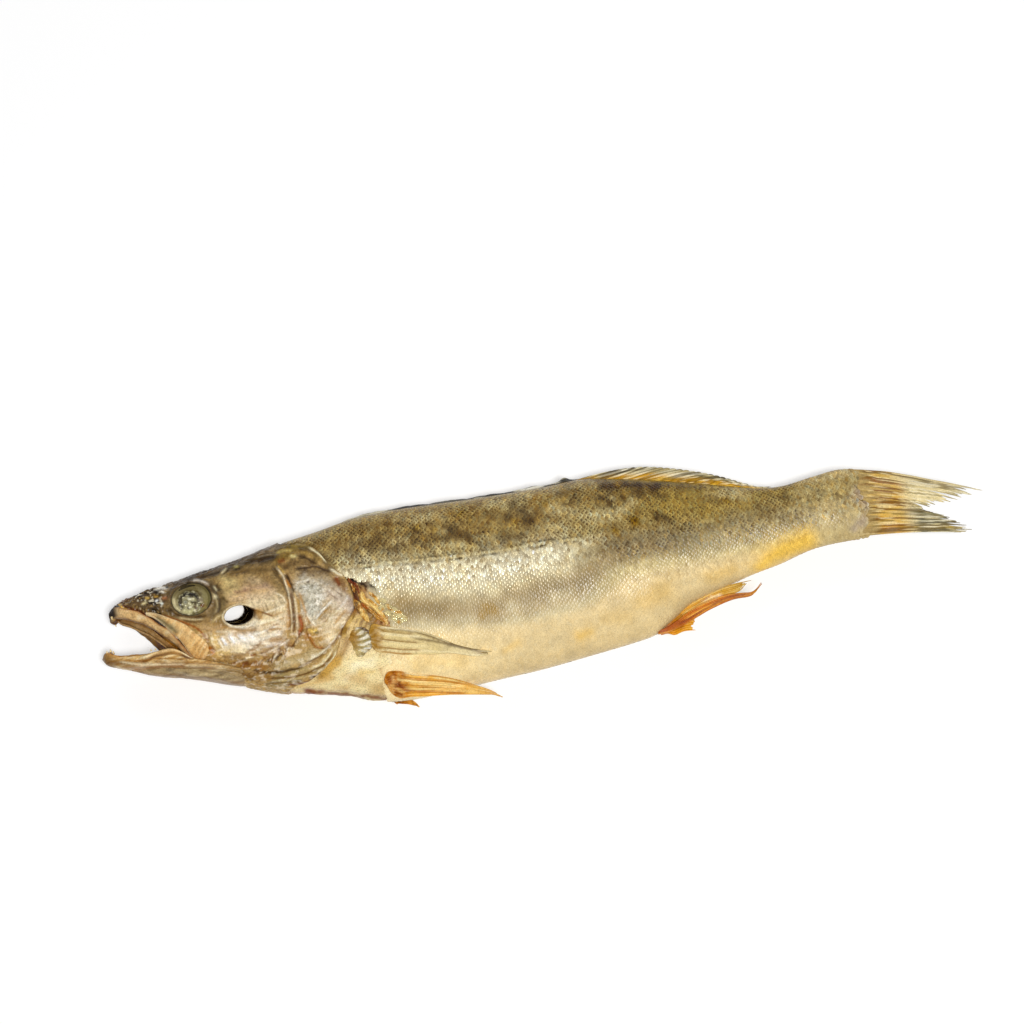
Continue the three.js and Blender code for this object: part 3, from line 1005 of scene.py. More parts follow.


# %% [markdown]
# The main lines of a perch's head run from the groove over the jaw bone to the preopercle with its spiny
# lower corner, the gill cover with its flat spine, and the fan of folds under it. HEAD_LINES holds them all.
# Each line has a width, a colour, a strength, and how far it stands out or sinks in, in mm. The relief and
# the paint both follow the list, so a dark crevice is also a real one. Most dark lines sink in and are
# painted shade in their crevice, and most pale lines stand out and are painted highlights on their ridge.

# %% The head's lines
CROWN_LINES = rows("""
43,28.6 55,31.3 65,33.4 75,35.2 85,36.8 | 0.9 #2a1e12 0.8 0
76,31 84,31.4 90,30.8 | 1.1 #36240f 0.85 -0.9
80,32.7 86,32.9 91,32.2 | 0.5 #857762 0.7 0.4
62.2,28.2 65.2,30.4 | 0.5 #d6c8a2 0.9 0.5
62.9,27.4 65.7,29.5 | 0.5 #1c130a 0.9 -0.6
55,29.5 60,30 66,31.6 | 0.6 #8b7b66 0.6 0.4
52,28 58,28.6 62,29.2 | 0.6 #33261a 0.7 -0.4
67,27.6 71,27 75,27.4 | 0.6 #5b4526 0.65 -0.4
68.6,30.2 71,30 | 0.8 #a79a5e 0.8 0.2
69,29 71.6,28.8 | 0.5 #2f2010 0.8 -0.4
90,28.6 93.5,28.8 | 1.1 #7d4416 0.85 -0.3
96.4,30.3 99.6,29.6 | 0.8 #ecdc9a 0.85 0.4
90,33 94,33.4 98,32.6 | 0.6 #b9a560 0.8 0.5
86,34.6 92,35 98,34.4 | 0.8 #6b5526 0.7 -0.3
100.1,29.5 103.4,28.1 106,26 108.6,23.7 | 1 #3a2712 0.9 -1.1
101,31.6 105,30 108,27.6 | 0.7 #a8894c 0.8 0.5
96.8,23.9 102.3,23.2 107.6,23 110.5,21.3 114.8,18.7 | 0.7 #38261a 0.85 -0.8
106,32.8 109.5,29.4 111.5,27 113,24.1 | 0.5 #e9dfb8 0.85 0.5
114.5,20.6 117.5,17.6 119.8,16.2 | 0.6 #f0e6c4 0.9 0.5
""")
EYE_LINES = rows("""
47.8,27.4 50,27.2 52,26.4 53.8,25.2 55,24 | 0.6 #cdc3b4 0.9 0.6
56.3,20 57.6,16.5 57.6,13 56.2,10 | 0.6 #a5946c 0.8 0.4
57.6,20.5 58.9,16.5 58.7,12.5 57,9.4 | 0.6 #33261a 0.8 -0.5
56.6,18.2 58.2,17.6 | 0.9 #e6d8ac 0.9 0.3
57.6,23 58.6,20.4 | 0.5 #cdc29c 0.8 0.3
58.6,23.4 60,20 | 0.7 #3d2e18 0.7 -0.3
60,17 62,14.6 63.6,14 | 0.9 #54401f 0.7 -0.3
66,18.6 70,17.6 73.6,18.4 | 1.1 #8f6c52 0.7 -0.3
36,13.4 41,11.2 47,9.4 52,9.6 | 0.55 #4f3416 0.85 -0.5
38,11 44,9 50,8 | 0.6 #c7b285 0.8 0.4
40,9.4 45,7.6 50,7.4 | 0.5 #5f431c 0.8 -0.4
""")
PREOPERCLE = rows("""
87,26.4 88.2,23.2 89.7,19.7 90.9,16.8 91.8,13.4 91.9,10.2 | 0.8 #4a3218 0.85 -1.1
85.6,25 87.4,20.6 88.6,16 89.6,11 | 2 #8a744a 0.6 0
91.9,10.2 91.6,7.3 91.1,3 90.6,-1.5 89.6,-5 | 0.9 #8f6230 0.85 -0.7
88.9,26.2 90.4,23.1 91.6,20.5 92,16.3 92.5,12.1 92.5,8.9 92.2,4 | 0.5 #f0dfba 0.95 1.1
92.6,8 92.4,3 91.8,-1.6 90.6,-5.6 | 0.5 #efdcb2 0.85 0.8
94.2,17 95.2,12.6 95.8,7 95.6,2 | 0.5 #d9b878 0.8 0.5
86,14 89,12 90.6,8 | 0.5 #fbecc8 0.7 0.4
89.7,26.8 91.5,23.8 92.4,22 | 0.45 #cfa95a 0.85 0.5
92.7,22.1 93.9,18.6 94.7,14.9 95.3,12.4 | 0.65 #2a180a 0.95 -1.1
92.4,19.4 93.2,17 94,15.2 | 0.5 #c07a2a 0.9 0.2
93.4,13.1 93.6,10.4 93.5,6.9 93.1,4 92.7,-0.3 92.2,-4 91.2,-7 | 0.65 #573212 0.95 -1
94.8,11 94.9,6 94.6,1 94,-3 93.4,-6 | 0.8 #e4d0aa 0.9 1
96.4,9.5 96.2,5 95.6,2 | 0.6 #a17932 0.8 -0.5
95.4,1.5 95.8,-0.6 96.2,-2.6 95.9,-4.8 94.4,-6.6 93.6,-8.8 | 1 #984812 0.95 -1.2
93.3,-6 93,-9 92.2,-10.6 | 0.5 #eedeba 0.85 0.9
76.6,-17 79,-17.4 | 0.7 #4b2c0e 0.9 -0.8
80.5,-17.4 82.5,-16 84.6,-15.2 | 0.85 #432508 0.92 -1
88.9,-13.3 91,-12 | 0.75 #533010 0.9 -0.8
78.9,-18.4 80.4,-16.4 82.4,-14.4 | 0.55 #f6eacc 0.95 1.1
85.7,-16.6 86.8,-14.6 87.6,-13 | 0.6 #f4e8ca 0.9 1.1
91.3,-12 93.5,-10.5 | 0.5 #ead8b2 0.85 0.8
72.2,-18.2 74.4,-16.6 | 0.55 #f6eacc 0.95 1
66.4,-14 70.4,-14.2 | 0.55 #f5e4be 0.9 0.7
82.2,-12.8 84,-13.2 | 0.9 #654636 0.8 -0.4
74,-13.6 78,-12.7 81,-12.2 | 0.6 #84654a 0.75 -0.5
75,-15 78,-14.4 | 0.5 #a2774a 0.7 0.4
64.6,-16.5 67.8,-16.4 | 0.9 #5f270b 0.92 -0.8
69,-13.2 72,-13.3 | 0.5 #84481a 0.85 -0.4
60,-15.5 63.4,-15 65.6,-14.8 | 0.5 #724414 0.85 -0.5
69,-17.4 73,-19.8 78,-20 | 1 #9a6a2c 0.6 -0.3
70.3,-20 71.4,-22.6 | 1.1 #412709 0.88 -0.6
""")
CHEEK_LINES = rows("""
54.6,1 58,0.4 62,-0.6 | 0.5 #e9d8b4 0.8 0.5
72,-3.8 78,-3 84,-1.8 | 0.5 #fff8e6 0.85 0.6
74,-5.4 80,-4.8 86,-3 | 0.45 #fbeccb 0.8 0.5
70,-7.6 76,-8.6 82,-9.6 | 0.5 #fdf1d4 0.8 0.5
66,-8.4 70,-9.6 74,-11.4 | 0.45 #fff3d8 0.8 0.5
60,-9 64,-10.4 70,-12 | 0.5 #f3dfb2 0.8 0.5
55.4,-3 57,-7.4 | 0.5 #fdf3dc 0.8 0.4
66,2.8 72,2.2 78,3 | 0.45 #fff4d6 0.8 0.5
78,2.6 84,3.6 89,4.6 | 0.45 #b9925c 0.75 -0.4
79,5.4 85,6.4 90,7.4 | 0.5 #fdf0d0 0.75 0.4
76,-0.4 83,0.6 89,1.6 | 0.45 #b88f56 0.75 -0.4
77,-13.6 84,-11.4 89,-9 | 0.5 #f2e2c4 0.8 0.5
57,2.7 61,2.4 63,1.4 65.4,0 69,-1 75,-1.8 | 0.8 #9a7238 0.85 -0.8
60.4,5 62,2.8 65.4,1.3 70,0.7 74.6,1.4 | 0.7 #fbf2da 0.9 0.7
57,-2.3 58.8,-6.3 | 0.7 #ffffff 0.9 0.5
61,-2 63,-6 | 0.6 #ffffff 0.85 0.5
65.2,-2.6 68.4,-5.4 | 0.7 #ffffff 0.85 0.5
70,-3.2 72.6,-6 | 0.6 #ffffff 0.7 0.4
59,-2.6 60.8,-6 | 0.55 #c9aa7c 0.7 -0.4
63.2,-2 65.4,-4.6 | 0.5 #c9aa7c 0.7 -0.4
52.4,0 52,-3 53.4,-8 | 0.7 #ecd7a6 0.7 0.5
50.8,1 50.4,-3 | 0.6 #a98c66 0.7 -0.5
76,-7.6 73.4,-9.2 71,-10.8 67,-11.8 | 0.75 #a07c56 0.85 -0.7
75,-7 81,-6 85.8,-5.6 | 0.7 #fff6e0 0.85 0.7
79.4,-2.8 83,-3 86.8,-3.6 | 0.5 #ab8148 0.85 -0.5
82.4,-1 85.4,-1.2 | 0.45 #a97f52 0.75 -0.4
79,-8.6 83,-7.9 88,-8.8 | 0.55 #b18a58 0.75 -0.5
77,-10.6 82,-10.2 87,-10.8 | 0.8 #f3e5d2 0.75 0.5
76,3.4 80,1.6 86,0.8 | 0.8 #fdf0cc 0.7 0.4
88,-5 89.6,-2 89.4,3 | 0.6 #c59a5c 0.6 -0.4
50,-5.4 51.8,-7.8 51.4,-9.4 | 1.2 #b0611a 0.9 -0.6
54,6 57,8 60,8.4 | 0.6 #cbb685 0.65 0.4
""")
COVER_LINES = rows("""
97,17.2 100,17 104,17.5 | 0.4 #efe9d8 0.6 0.3
101.8,16.2 103.2,16.3 | 0.5 #4f3f30 0.85 -0.2
104.8,18.9 106,19 | 0.5 #4f3f30 0.85 -0.2
103.2,-1.7 107.3,1.7 109.6,3 112.4,5.4 | 0.55 #faf5e6 0.9 0.9
103.9,-2.8 107.9,0.7 111.4,3.2 | 0.55 #a27a34 0.85 -0.6
98.3,-6 100.8,-7.4 103,-7.2 | 0.8 #f2cf70 0.9 0.5
101.5,-8.4 103.4,-8.4 | 0.7 #5f5b42 0.8 -0.4
98.5,-8.5 99.3,-11 100,-13.7 101.2,-15.2 104.5,-16.2 | 0.65 #b06c18 0.9 -0.5
96.8,-7.4 97.6,-11.4 | 1.3 #b07a48 0.7 0
97.6,12 98.6,5 99.4,-1 100.6,-4.6 | 0.6 #b98a4c 0.8 -0.3
99,1.6 101,-2.4 102.8,-5 | 0.5 #efe6cc 0.8 0.4
116.4,16.2 117,13 117.6,11.6 | 1.1 #763810 0.9 -0.5
110.5,11 113,7.6 115.5,5.4 | 0.45 #87715a 0.75 -0.4
113,12 115.6,9 118,6.4 | 0.45 #87715a 0.75 -0.4
114,0 117.6,2.8 120.6,6.4 | 0.45 #f4ecdc 0.7 0.4
111.6,-6 115.5,-2.6 119,0 | 0.5 #b28440 0.75 -0.4
109,-4 113,-0.8 117,1 | 0.5 #f1e2bc 0.7 0.4
117.4,-10.4 118.9,-8.9 120.6,-8.6 | 0.7 #221208 0.95 -0.8
114.6,-8.6 117,-7.1 120,-6.8 | 0.6 #f6ecd6 0.9 0.7
""")
FOLDS = rows("""
72,-22 74,-22.5 80.8,-23.6 84.3,-23.8 88.4,-23.7 90.7,-23.7 93.2,-22.7 | 0.8 #452c0b 0.92 -1
92.4,-23 96.7,-21.4 102,-19.8 104.6,-17.9 107.4,-16.1 110.4,-14.1 113.1,-11.9 \
115.7,-8.9 118,-7.7 | 0.55 #704a18 0.95 -0.9
96,-20.8 102.2,-18.7 105.5,-16.8 109,-14.2 112.4,-11.2 | 0.6 #f6ecca 0.9 0.9
99,-22 104,-19.7 107,-17.7 110,-15.5 113.4,-12.8 | 0.45 #9d7a3c 0.85 -0.5
75,-25.4 80.5,-26.5 88,-27.2 95.5,-26.5 99.8,-25.3 102.9,-24.6 105.3,-22.8 \
107.7,-20.9 109.6,-19 | 0.6 #6a4716 0.9 -0.9
97,-24.8 101.6,-23.6 104.4,-21.8 106.8,-19.8 108.6,-17.8 | 0.55 #f0e2b6 0.9 0.9
99,-27 103.4,-25.6 106.4,-23.2 108.8,-21 110.2,-19 | 0.5 #eddfb2 0.85 0.9
95,-29.3 100.4,-28.2 102.4,-27.4 104.7,-26.1 107,-24.8 109.4,-22.4 | 0.85 #38190a 0.95 -1.1
84,-30.4 91.5,-31 93.8,-30.9 96,-30.8 100,-30.3 | 0.65 #6a3512 0.88 -0.7
75,-28 84,-28.9 92,-29.4 | 0.5 #70541f 0.8 -0.6
77,-27.2 86,-28.1 94,-28 | 0.5 #c2b07e 0.75 0.6
78,-25 86,-25.2 95,-24.2 | 0.6 #b3a06c 0.7 0.5
""")
# these are only painted, so they have no height
SNOUT_LINES = rows("""
6.6,20.3 8.8,21.8 11.2,22 | 1.3 #150e08 0.97
11.9,23 12.2,20.9 | 0.5 #d8b050 0.9
10.6,24.4 11.4,22.2 12.8,20.7 15,19.6 | 0.45 #e0b65c 0.95
12.2,22.4 15.4,20.1 19.8,18 22.6,15.8 25,14.2 | 0.75 #5a2c0e 0.92
25,14 28.2,10.9 31.5,7.6 33,6 | 0.6 #9a4c14 0.9
28.2,14.3 32.4,12.7 37.7,9.8 42.8,6.8 47,3.4 50.6,-3 | 0.55 #8f4c16 0.9
29.6,26.6 32.4,26.8 35.4,26 | 0.8 #f4eee0 0.9
28,25.4 31,24.8 | 0.9 #120b06 0.95
32,25.4 33.4,24.2 | 0.6 #efe8d8 0.85
34.6,26.6 36,26.4 | 0.6 #140d08 0.9
28.6,20.8 30,21.4 | 0.5 #f4f4ee 0.9
31,19.2 32,19.2 | 0.5 #e8f0e8 0.85
24,23.4 26,23 | 0.7 #d8b052 0.8
28,23.2 30.4,23 | 0.6 #a8833a 0.8
32,21.8 34.6,21.4 | 0.9 #a8714c 0.75
22,20.6 24.4,21.4 | 0.6 #e8d8a4 0.85
26,17.4 29,16.6 | 1 #1c140c 0.9
33,15.6 36,15 | 0.8 #3a2a16 0.85
""")
HEAD_LINES = CROWN_LINES + EYE_LINES + PREOPERCLE + CHEEK_LINES + COVER_LINES + FOLDS
SPINY_EDGE = places("""96.5,-6 95,-7.5 91.5,-11 90,-12.2 87.4,-12.6 85.6,-17 85.2,-13.8 82,-14.6 80.2,-14.8
    78.7,-18.6 77.6,-15.8 74.6,-16.4 72.1,-18.4 71.5,-16.6 68,-17.6 63,-18.4""")
OPERCLE_LOWER = places("""121.5,-2.5 116.5,-7.6 112,-12 108,-15.3 104.5,-16.4 101.3,-15.4 99,-12 98,-7.5
    98.6,-4""")
FUNNEL_LIP = places("83,3.2 80.3,4.9 76.5,7 72.5,9.3 69.5,10.7")
HOLE_MIDDLE = ((HOLE_LEFT[0] + HOLE_RIGHT[0]) / 2, (HOLE_LEFT[1] + HOLE_RIGHT[1]) / 2)


def draw(tint, x, y, lines, wobble):
    """Paints a list of lines. wobble is noise that makes them uneven."""
    for points, width, code, strength, *_ in lines:
        here = close_to(x, y, points, 3 * width)
        away, _, share = nearest(x[here], y[here], points)
        ends = ramp(np.minimum(share, 1 - share), -0.06, 0.12)
        mask = np.exp(-((away * (1 + 0.45 * wobble[here]) / width) ** 2)) * ends * strength
        tint[here] = blend(tint[here], mask, code)
    return tint


def hole_centre(side):
    """Middle of the hole's rim on a side."""
    return np.where(side > 0, HOLE_LEFT[0], HOLE_RIGHT[0]), np.where(side > 0, HOLE_LEFT[1], HOLE_RIGHT[1])


def in_hole(x, y, z):
    """How deep a place lies in the hole, from 0 to 1, and whether it is on the hole's wall."""
    surface, side = side_height(x, y), np.sign(z - middle(x))
    half = np.abs(surface - middle(x))
    down = np.clip((half - np.abs(z - middle(x))) / half, 0, 1)
    rim_x, rim_y = hole_centre(side)
    path_x = rim_x * (1 - down) + down * HOLE_MIDDLE[0]
    path_y = rim_y * (1 - down) + down * HOLE_MIDDLE[1]
    from_path = np.hypot((x - path_x) / HOLE_LONG, (y - path_y) / HOLE_HIGH)
    return down, (from_path < 1.15) & (down > 0.06)


def hole_offset(x, y, side):
    """How far a place lies from the hole's middle, in its own half sizes, and in which direction."""
    centre = hole_centre(side)
    dx, dy = x - centre[0], y - centre[1]
    a = (dx * math.cos(HOLE_TURN) - dy * math.sin(HOLE_TURN)) / HOLE_LONG
    b = (dx * math.sin(HOLE_TURN) + dy * math.cos(HOLE_TURN)) / HOLE_HIGH
    return np.hypot(a, b), a, b


def eye_reach(x, y):
    """Distance from the eye's middle, stretched so that its rim is at 10."""
    dx, dy = x - EYE[0], y - EYE[1]
    a = dx * math.cos(EYE_TURN) + dy * math.sin(EYE_TURN)
    b = dy * math.cos(EYE_TURN) - dx * math.sin(EYE_TURN)
    return 10 * np.hypot(a / EYE_LONG, b / EYE_HIGH)


def wrinkles(spots, y):
    """Fine creases. They run across the crown, and along the folds of the lower cheek."""
    upper = creases(spots * np.array([0.8, 1.0, 1.0]), 2.6, 58)
    a, b, c = spots.T
    sloping = columns(0.45 * a + 0.2 * b, 1.1 * b - 0.35 * a, c)
    lower = creases(sloping, 1.9, 60, 0.12)
    share = ramp(y, 0, 8)
    return upper * share + lower * (1 - share)


def under_cover(x, y):
    """The smooth flap of skin that shows below the gill cover."""
    return within(x, 80, 106, 4) * within(y, -31, -14, 2)


def head_relief(x, y, z):
    spots = columns(x, y, z)
    fine, coarse = grain(spots, 0.9, 51), grain(spots, 3.2, 52)
    away = eye_reach(x, y)
    lift = 0.2 * fine + 0.3 * coarse
    lift += 0.7 * bell(away - 10.5, 0.8) - 4.6 * (1 - ramp(away, 8.8, 10.4))
    lift += 0.7 * bell(hole_offset(x, y, np.sign(z - middle(x)))[0] - 1.12, 0.12)
    x, y = as_seen(x, y, z)
    lift += ramp(x, 70, 100) * 1.3
    lift += 1.5 * brim(x, y, SPINY_EDGE, 5, 0.3, 0.02) + 1.0 * brim(x, y, OPERCLE_LOWER, 5, 0.35)
    for points, width, _, _, rise in HEAD_LINES:
        lift += 0.85 * rise * ridge(x, y, points, max(width, 0.55)) * (1 + 0.6 * fine)
    lift += 1.2 * mound(x, y, 68, -6, 11, 7)
    lift -= 0.8 * mound(x, y, 72, 17, 12, 5)
    snout = (1 - ramp(x, 30, 42)) * ramp(y, belly_at(x) + 1, belly_at(x) + 5)
    lift += snout * (0.55 * grain(spots, 1.3, 53) + 0.5 * grain(spots, 2.6, 54))
    lift -= 0.45 * wrinkles(spots, y) * (1 - 0.7 * under_cover(x, y))
    lift -= 3.0 * brim(x, y, FUNNEL_LIP, 3.2, 0.35, 0.02) * ramp(84 - x, 0, 12)
    cover = mound(x, y, 106, 6, 9, 12)
    lift += cover * (0.3 * grain(spots, 0.8, 55) + 0.2 * coarse)
    rolling = np.sin(y * 1.35 + 0.5 * x + 2 * coarse)
    lift += 0.4 * ramp(x, 60, 66) * (1 - ramp(x, 84, 90)) * rolling * bell(y + 8, 8)
    return lift


# %% [markdown]
# The hole in the cheek goes right through the head. The grid itself makes its wall: what lies inside the
# hole's outline is pushed out to the rim and down into the depth, and the last bit in the middle is cut away.
# The mouth's roof is made the same way: the skin between the two lips is pushed up into the snout.


# %% Wrapping the head
def head_wrap(u, v):
    turn = head_turn(v)
    rear = head_rear(turn)
    x = SNOUT + (rear - SNOUT) * u
    y, z = section_at(x, turn)
    side = np.where(turn < np.pi, 1.0, -1.0)
    lift = head_relief(x, y, z)
    lift -= 3.6 * (1 - ramp(rear - x, 0.0, 1.1)) ** 2
    out = outward(x, turn)
    tip = np.clip((x - SNOUT) / 2.2, 0, 1)
    rounding = np.sqrt(1 - (1 - tip) ** 2)
    centre = (back_at(x) + belly_at(x)) / 2
    px, py, pz = x + out[:, 0] * lift * tip, y + out[:, 1] * lift * tip, z + out[:, 2] * lift * tip
    py = centre + (py - centre) * rounding
    pz = middle(x) + (pz - middle(x)) * rounding
    lower = ramp(-np.cos(turn), 0.1, 1.0) * (1 - ramp(x, 30, 50))
    far = np.clip((middle(x) + 7 - pz) / 16, 0, 1)
    py = py - 4.2 * lower * far
    roof = np.clip(1 - (np.abs(turn - np.pi) / (0.34 * np.pi)) ** 2, 0, 1)
    depth = np.minimum(0.62 * (back_at(x) - belly_at(x)), 11.0) * ramp(x, 7.5, 14)
    py = py + roof**0.8 * depth * (1 - ramp(x, 34, 46))
    share, a, b = hole_offset(px, py, side)
    inside = (share < 1) & (np.abs(pz - middle(px)) > 5)
    grow = np.where(inside, 1 / np.maximum(share, 1e-6), 1)
    depth_share = np.where(inside, (1 - share) / (1 - HOLE_KEPT), 0)
    edge_x, edge_y = a * grow * HOLE_LONG, b * grow * HOLE_HIGH
    rim_x = edge_x * math.cos(HOLE_TURN) + edge_y * math.sin(HOLE_TURN)
    rim_y = -edge_x * math.sin(HOLE_TURN) + edge_y * math.cos(HOLE_TURN)
    centre_x, centre_y = hole_centre(side)
    mid_x, mid_y = HOLE_MIDDLE
    down = np.minimum(depth_share, 1)
    px = np.where(inside, centre_x + (mid_x - centre_x) * down + rim_x, px)
    py = np.where(inside, centre_y + (mid_y - centre_y) * down + rim_y, py)
    pz = np.where(inside, pz + (middle(px) - pz) * down, pz)
    return px, py, np.maximum(pz, REST)


def snout_dark(x, y):
    return (1 - ramp(x, 28, 40)) * ramp(y, belly_at(x) + 1.5, belly_at(x) + 5)


# Stains of colour on the head. The pale ones on the cheek's bulge and right of the hole are painted
# highlights, and the brown strip under the cheek (76,-13 to 84,-12.4) is painted shade.
# centre line | width, colour, strength
HEAD_STAINS_AND_PAINTED_LIGHT = rows("""
58,29.6 70,31 84,31.6 90,31 | 3.4 #33260f 0.94
40,27.5 52,28.6 60,29.4 | 2.8 #463927 0.9
57,24 60,18 58,12 54,7.6 | 3.4 #57472d 0.85
64,24 68,21 66,18 | 3.8 #cbb47a 0.95
66,27 76,27 88,25 | 2.6 #5f4824 0.88
72,22 82,20 | 3.6 #a88e62 0.85
84,23 87,17 | 3.2 #84673e 0.75
66,15 78,14.6 | 3.4 #caab80 0.9
78,15 84,14 | 3 #d0b48a 0.8
74,11 86,10 88,3 | 4 #e7d3ab 0.95
76,4 84,0 | 3 #f1ddb6 0.9
55,5 60,5 62,8 | 2.4 #8c6c3a 0.85
62,-4 68,-5 74,-6 | 5.2 #fff6e4 0.98
59,-8 66,-10 | 3 #f8e4ba 0.85
54,-2 54,-9 59,-10.6 | 2.8 #e6c684 0.9
78,-3 87,-1 | 4 #e6d0aa 0.85
78,-8.6 84,-7.4 | 2.6 #dec5a2 0.85
76,-13 84,-12.4 | 2.6 #b08e60 0.8
50,4 56,2 | 2.6 #b9986a 0.8
44,8 52,7 | 2 #98794c 0.8
57,-11.8 67,-12.8 | 1.5 #98794f 0.85
52,-14 60,-16 64,-18 | 2.8 #a07a42 0.8
64,-18 72,-18 74,-21 | 2.6 #8b5d25 0.88
93,21 95,10 94.5,-2 | 2.4 #8e6c3e 0.88
100,14 105,12 101,5 103,1 | 4.4 #c9c2a8 0.97
108,9 105,5 | 2.6 #d4d1be 0.8
101,22 108,20.6 113,19 | 2.6 #604824 0.88
110,15 114,13 116,9 | 3 #9c8a6c 0.88
119,8 121.5,3 121,-2 | 1.9 #8f7b6a 0.85
113,4 116,0 112,-3 | 4 #dccbaa 0.9
105,-3 108,-8 | 3.6 #d6c094 0.85
100,-9 103,-12 | 2.6 #bd9450 0.7
108,-11 112,-12.6 | 2.6 #f0d8a6 0.88
117,-9 119,-12 | 1.5 #90703c 0.85
80,-19 90,-19 99,-17 | 3.8 #a38a5a 0.95
75,22.4 79,21 | 1.6 #c6ac82 0.85
76,-25.4 84,-25.6 | 1.8 #8c7442 0.9
88,-26.2 97,-25 | 1.8 #b59c6a 0.9
86,-19.6 96,-18.4 103,-15.6 | 2.2 #c3ac7c 0.7
76,-29 90,-29.6 | 2 #9a8860 0.85
96,-27 102,-26 | 2 #a88f58 0.8
104,-21 110,-17 | 2.4 #c9ae74 0.8
72,-25 80,-25 | 2 #8a6128 0.6
90,29.4 96,31.4 100,33 | 2.4 #7c6228 0.92
94,36 101,34 106,33 | 2 #8a7438 0.88
103,31 109,29.4 114,29 | 2.6 #5c441a 0.9
110,26.4 115,25.4 | 1.8 #7e6430 0.88
93,26 100,26.6 106,25 | 2.2 #624a26 0.88
112,24 116,19.6 | 1.4 #5e4a28 0.8
99,7 99.6,5 | 1.8 #a89a78 0.7
109,10.4 113,9.6 118,6.4 | 2.2 #e4d6b6 0.8
116,15 119,13 119.4,9.6 | 1.7 #7d5830 0.85
113.6,-4 118,-6.4 | 2 #e2caa0 0.8
75,3 78,1 | 2.2 #fff6d8 0.9
70,15 80,13.6 86,15 | 1.8 #dcc19a 0.6
73,18 82,18.4 | 1.6 #a9886a 0.5
78,-6 85,-5 | 2 #f0dfc4 0.7
81,-21 92,-20.6 100,-18.6 | 1.4 #c6b184 0.8
84,-17 92,-15.4 97,-14 | 1.8 #bc9c68 0.7
109,-7 113,-6 | 2.2 #e4cfa6 0.8
97,-2 101,-4 | 1.6 #cdb484 0.7
84,-10 88,-11 | 2 #a07a4a 0.85
103,10 107,9 | 2.2 #ddd0b2 0.7
64,-21 68,-24 | 2.4 #7c5824 0.9
63.6,-1.6 68.4,-2 | 1.3 #bfa078 0.75
72,19.4 84,17 | 2.2 #b89a80 0.5
100,19 103,17 | 1.6 #9c8c6e 0.8
64,20 72,22.6 | 1.2 #8a744c 0.6
61,16 60,10 57,6 | 1.2 #6c5c38 0.6
""")


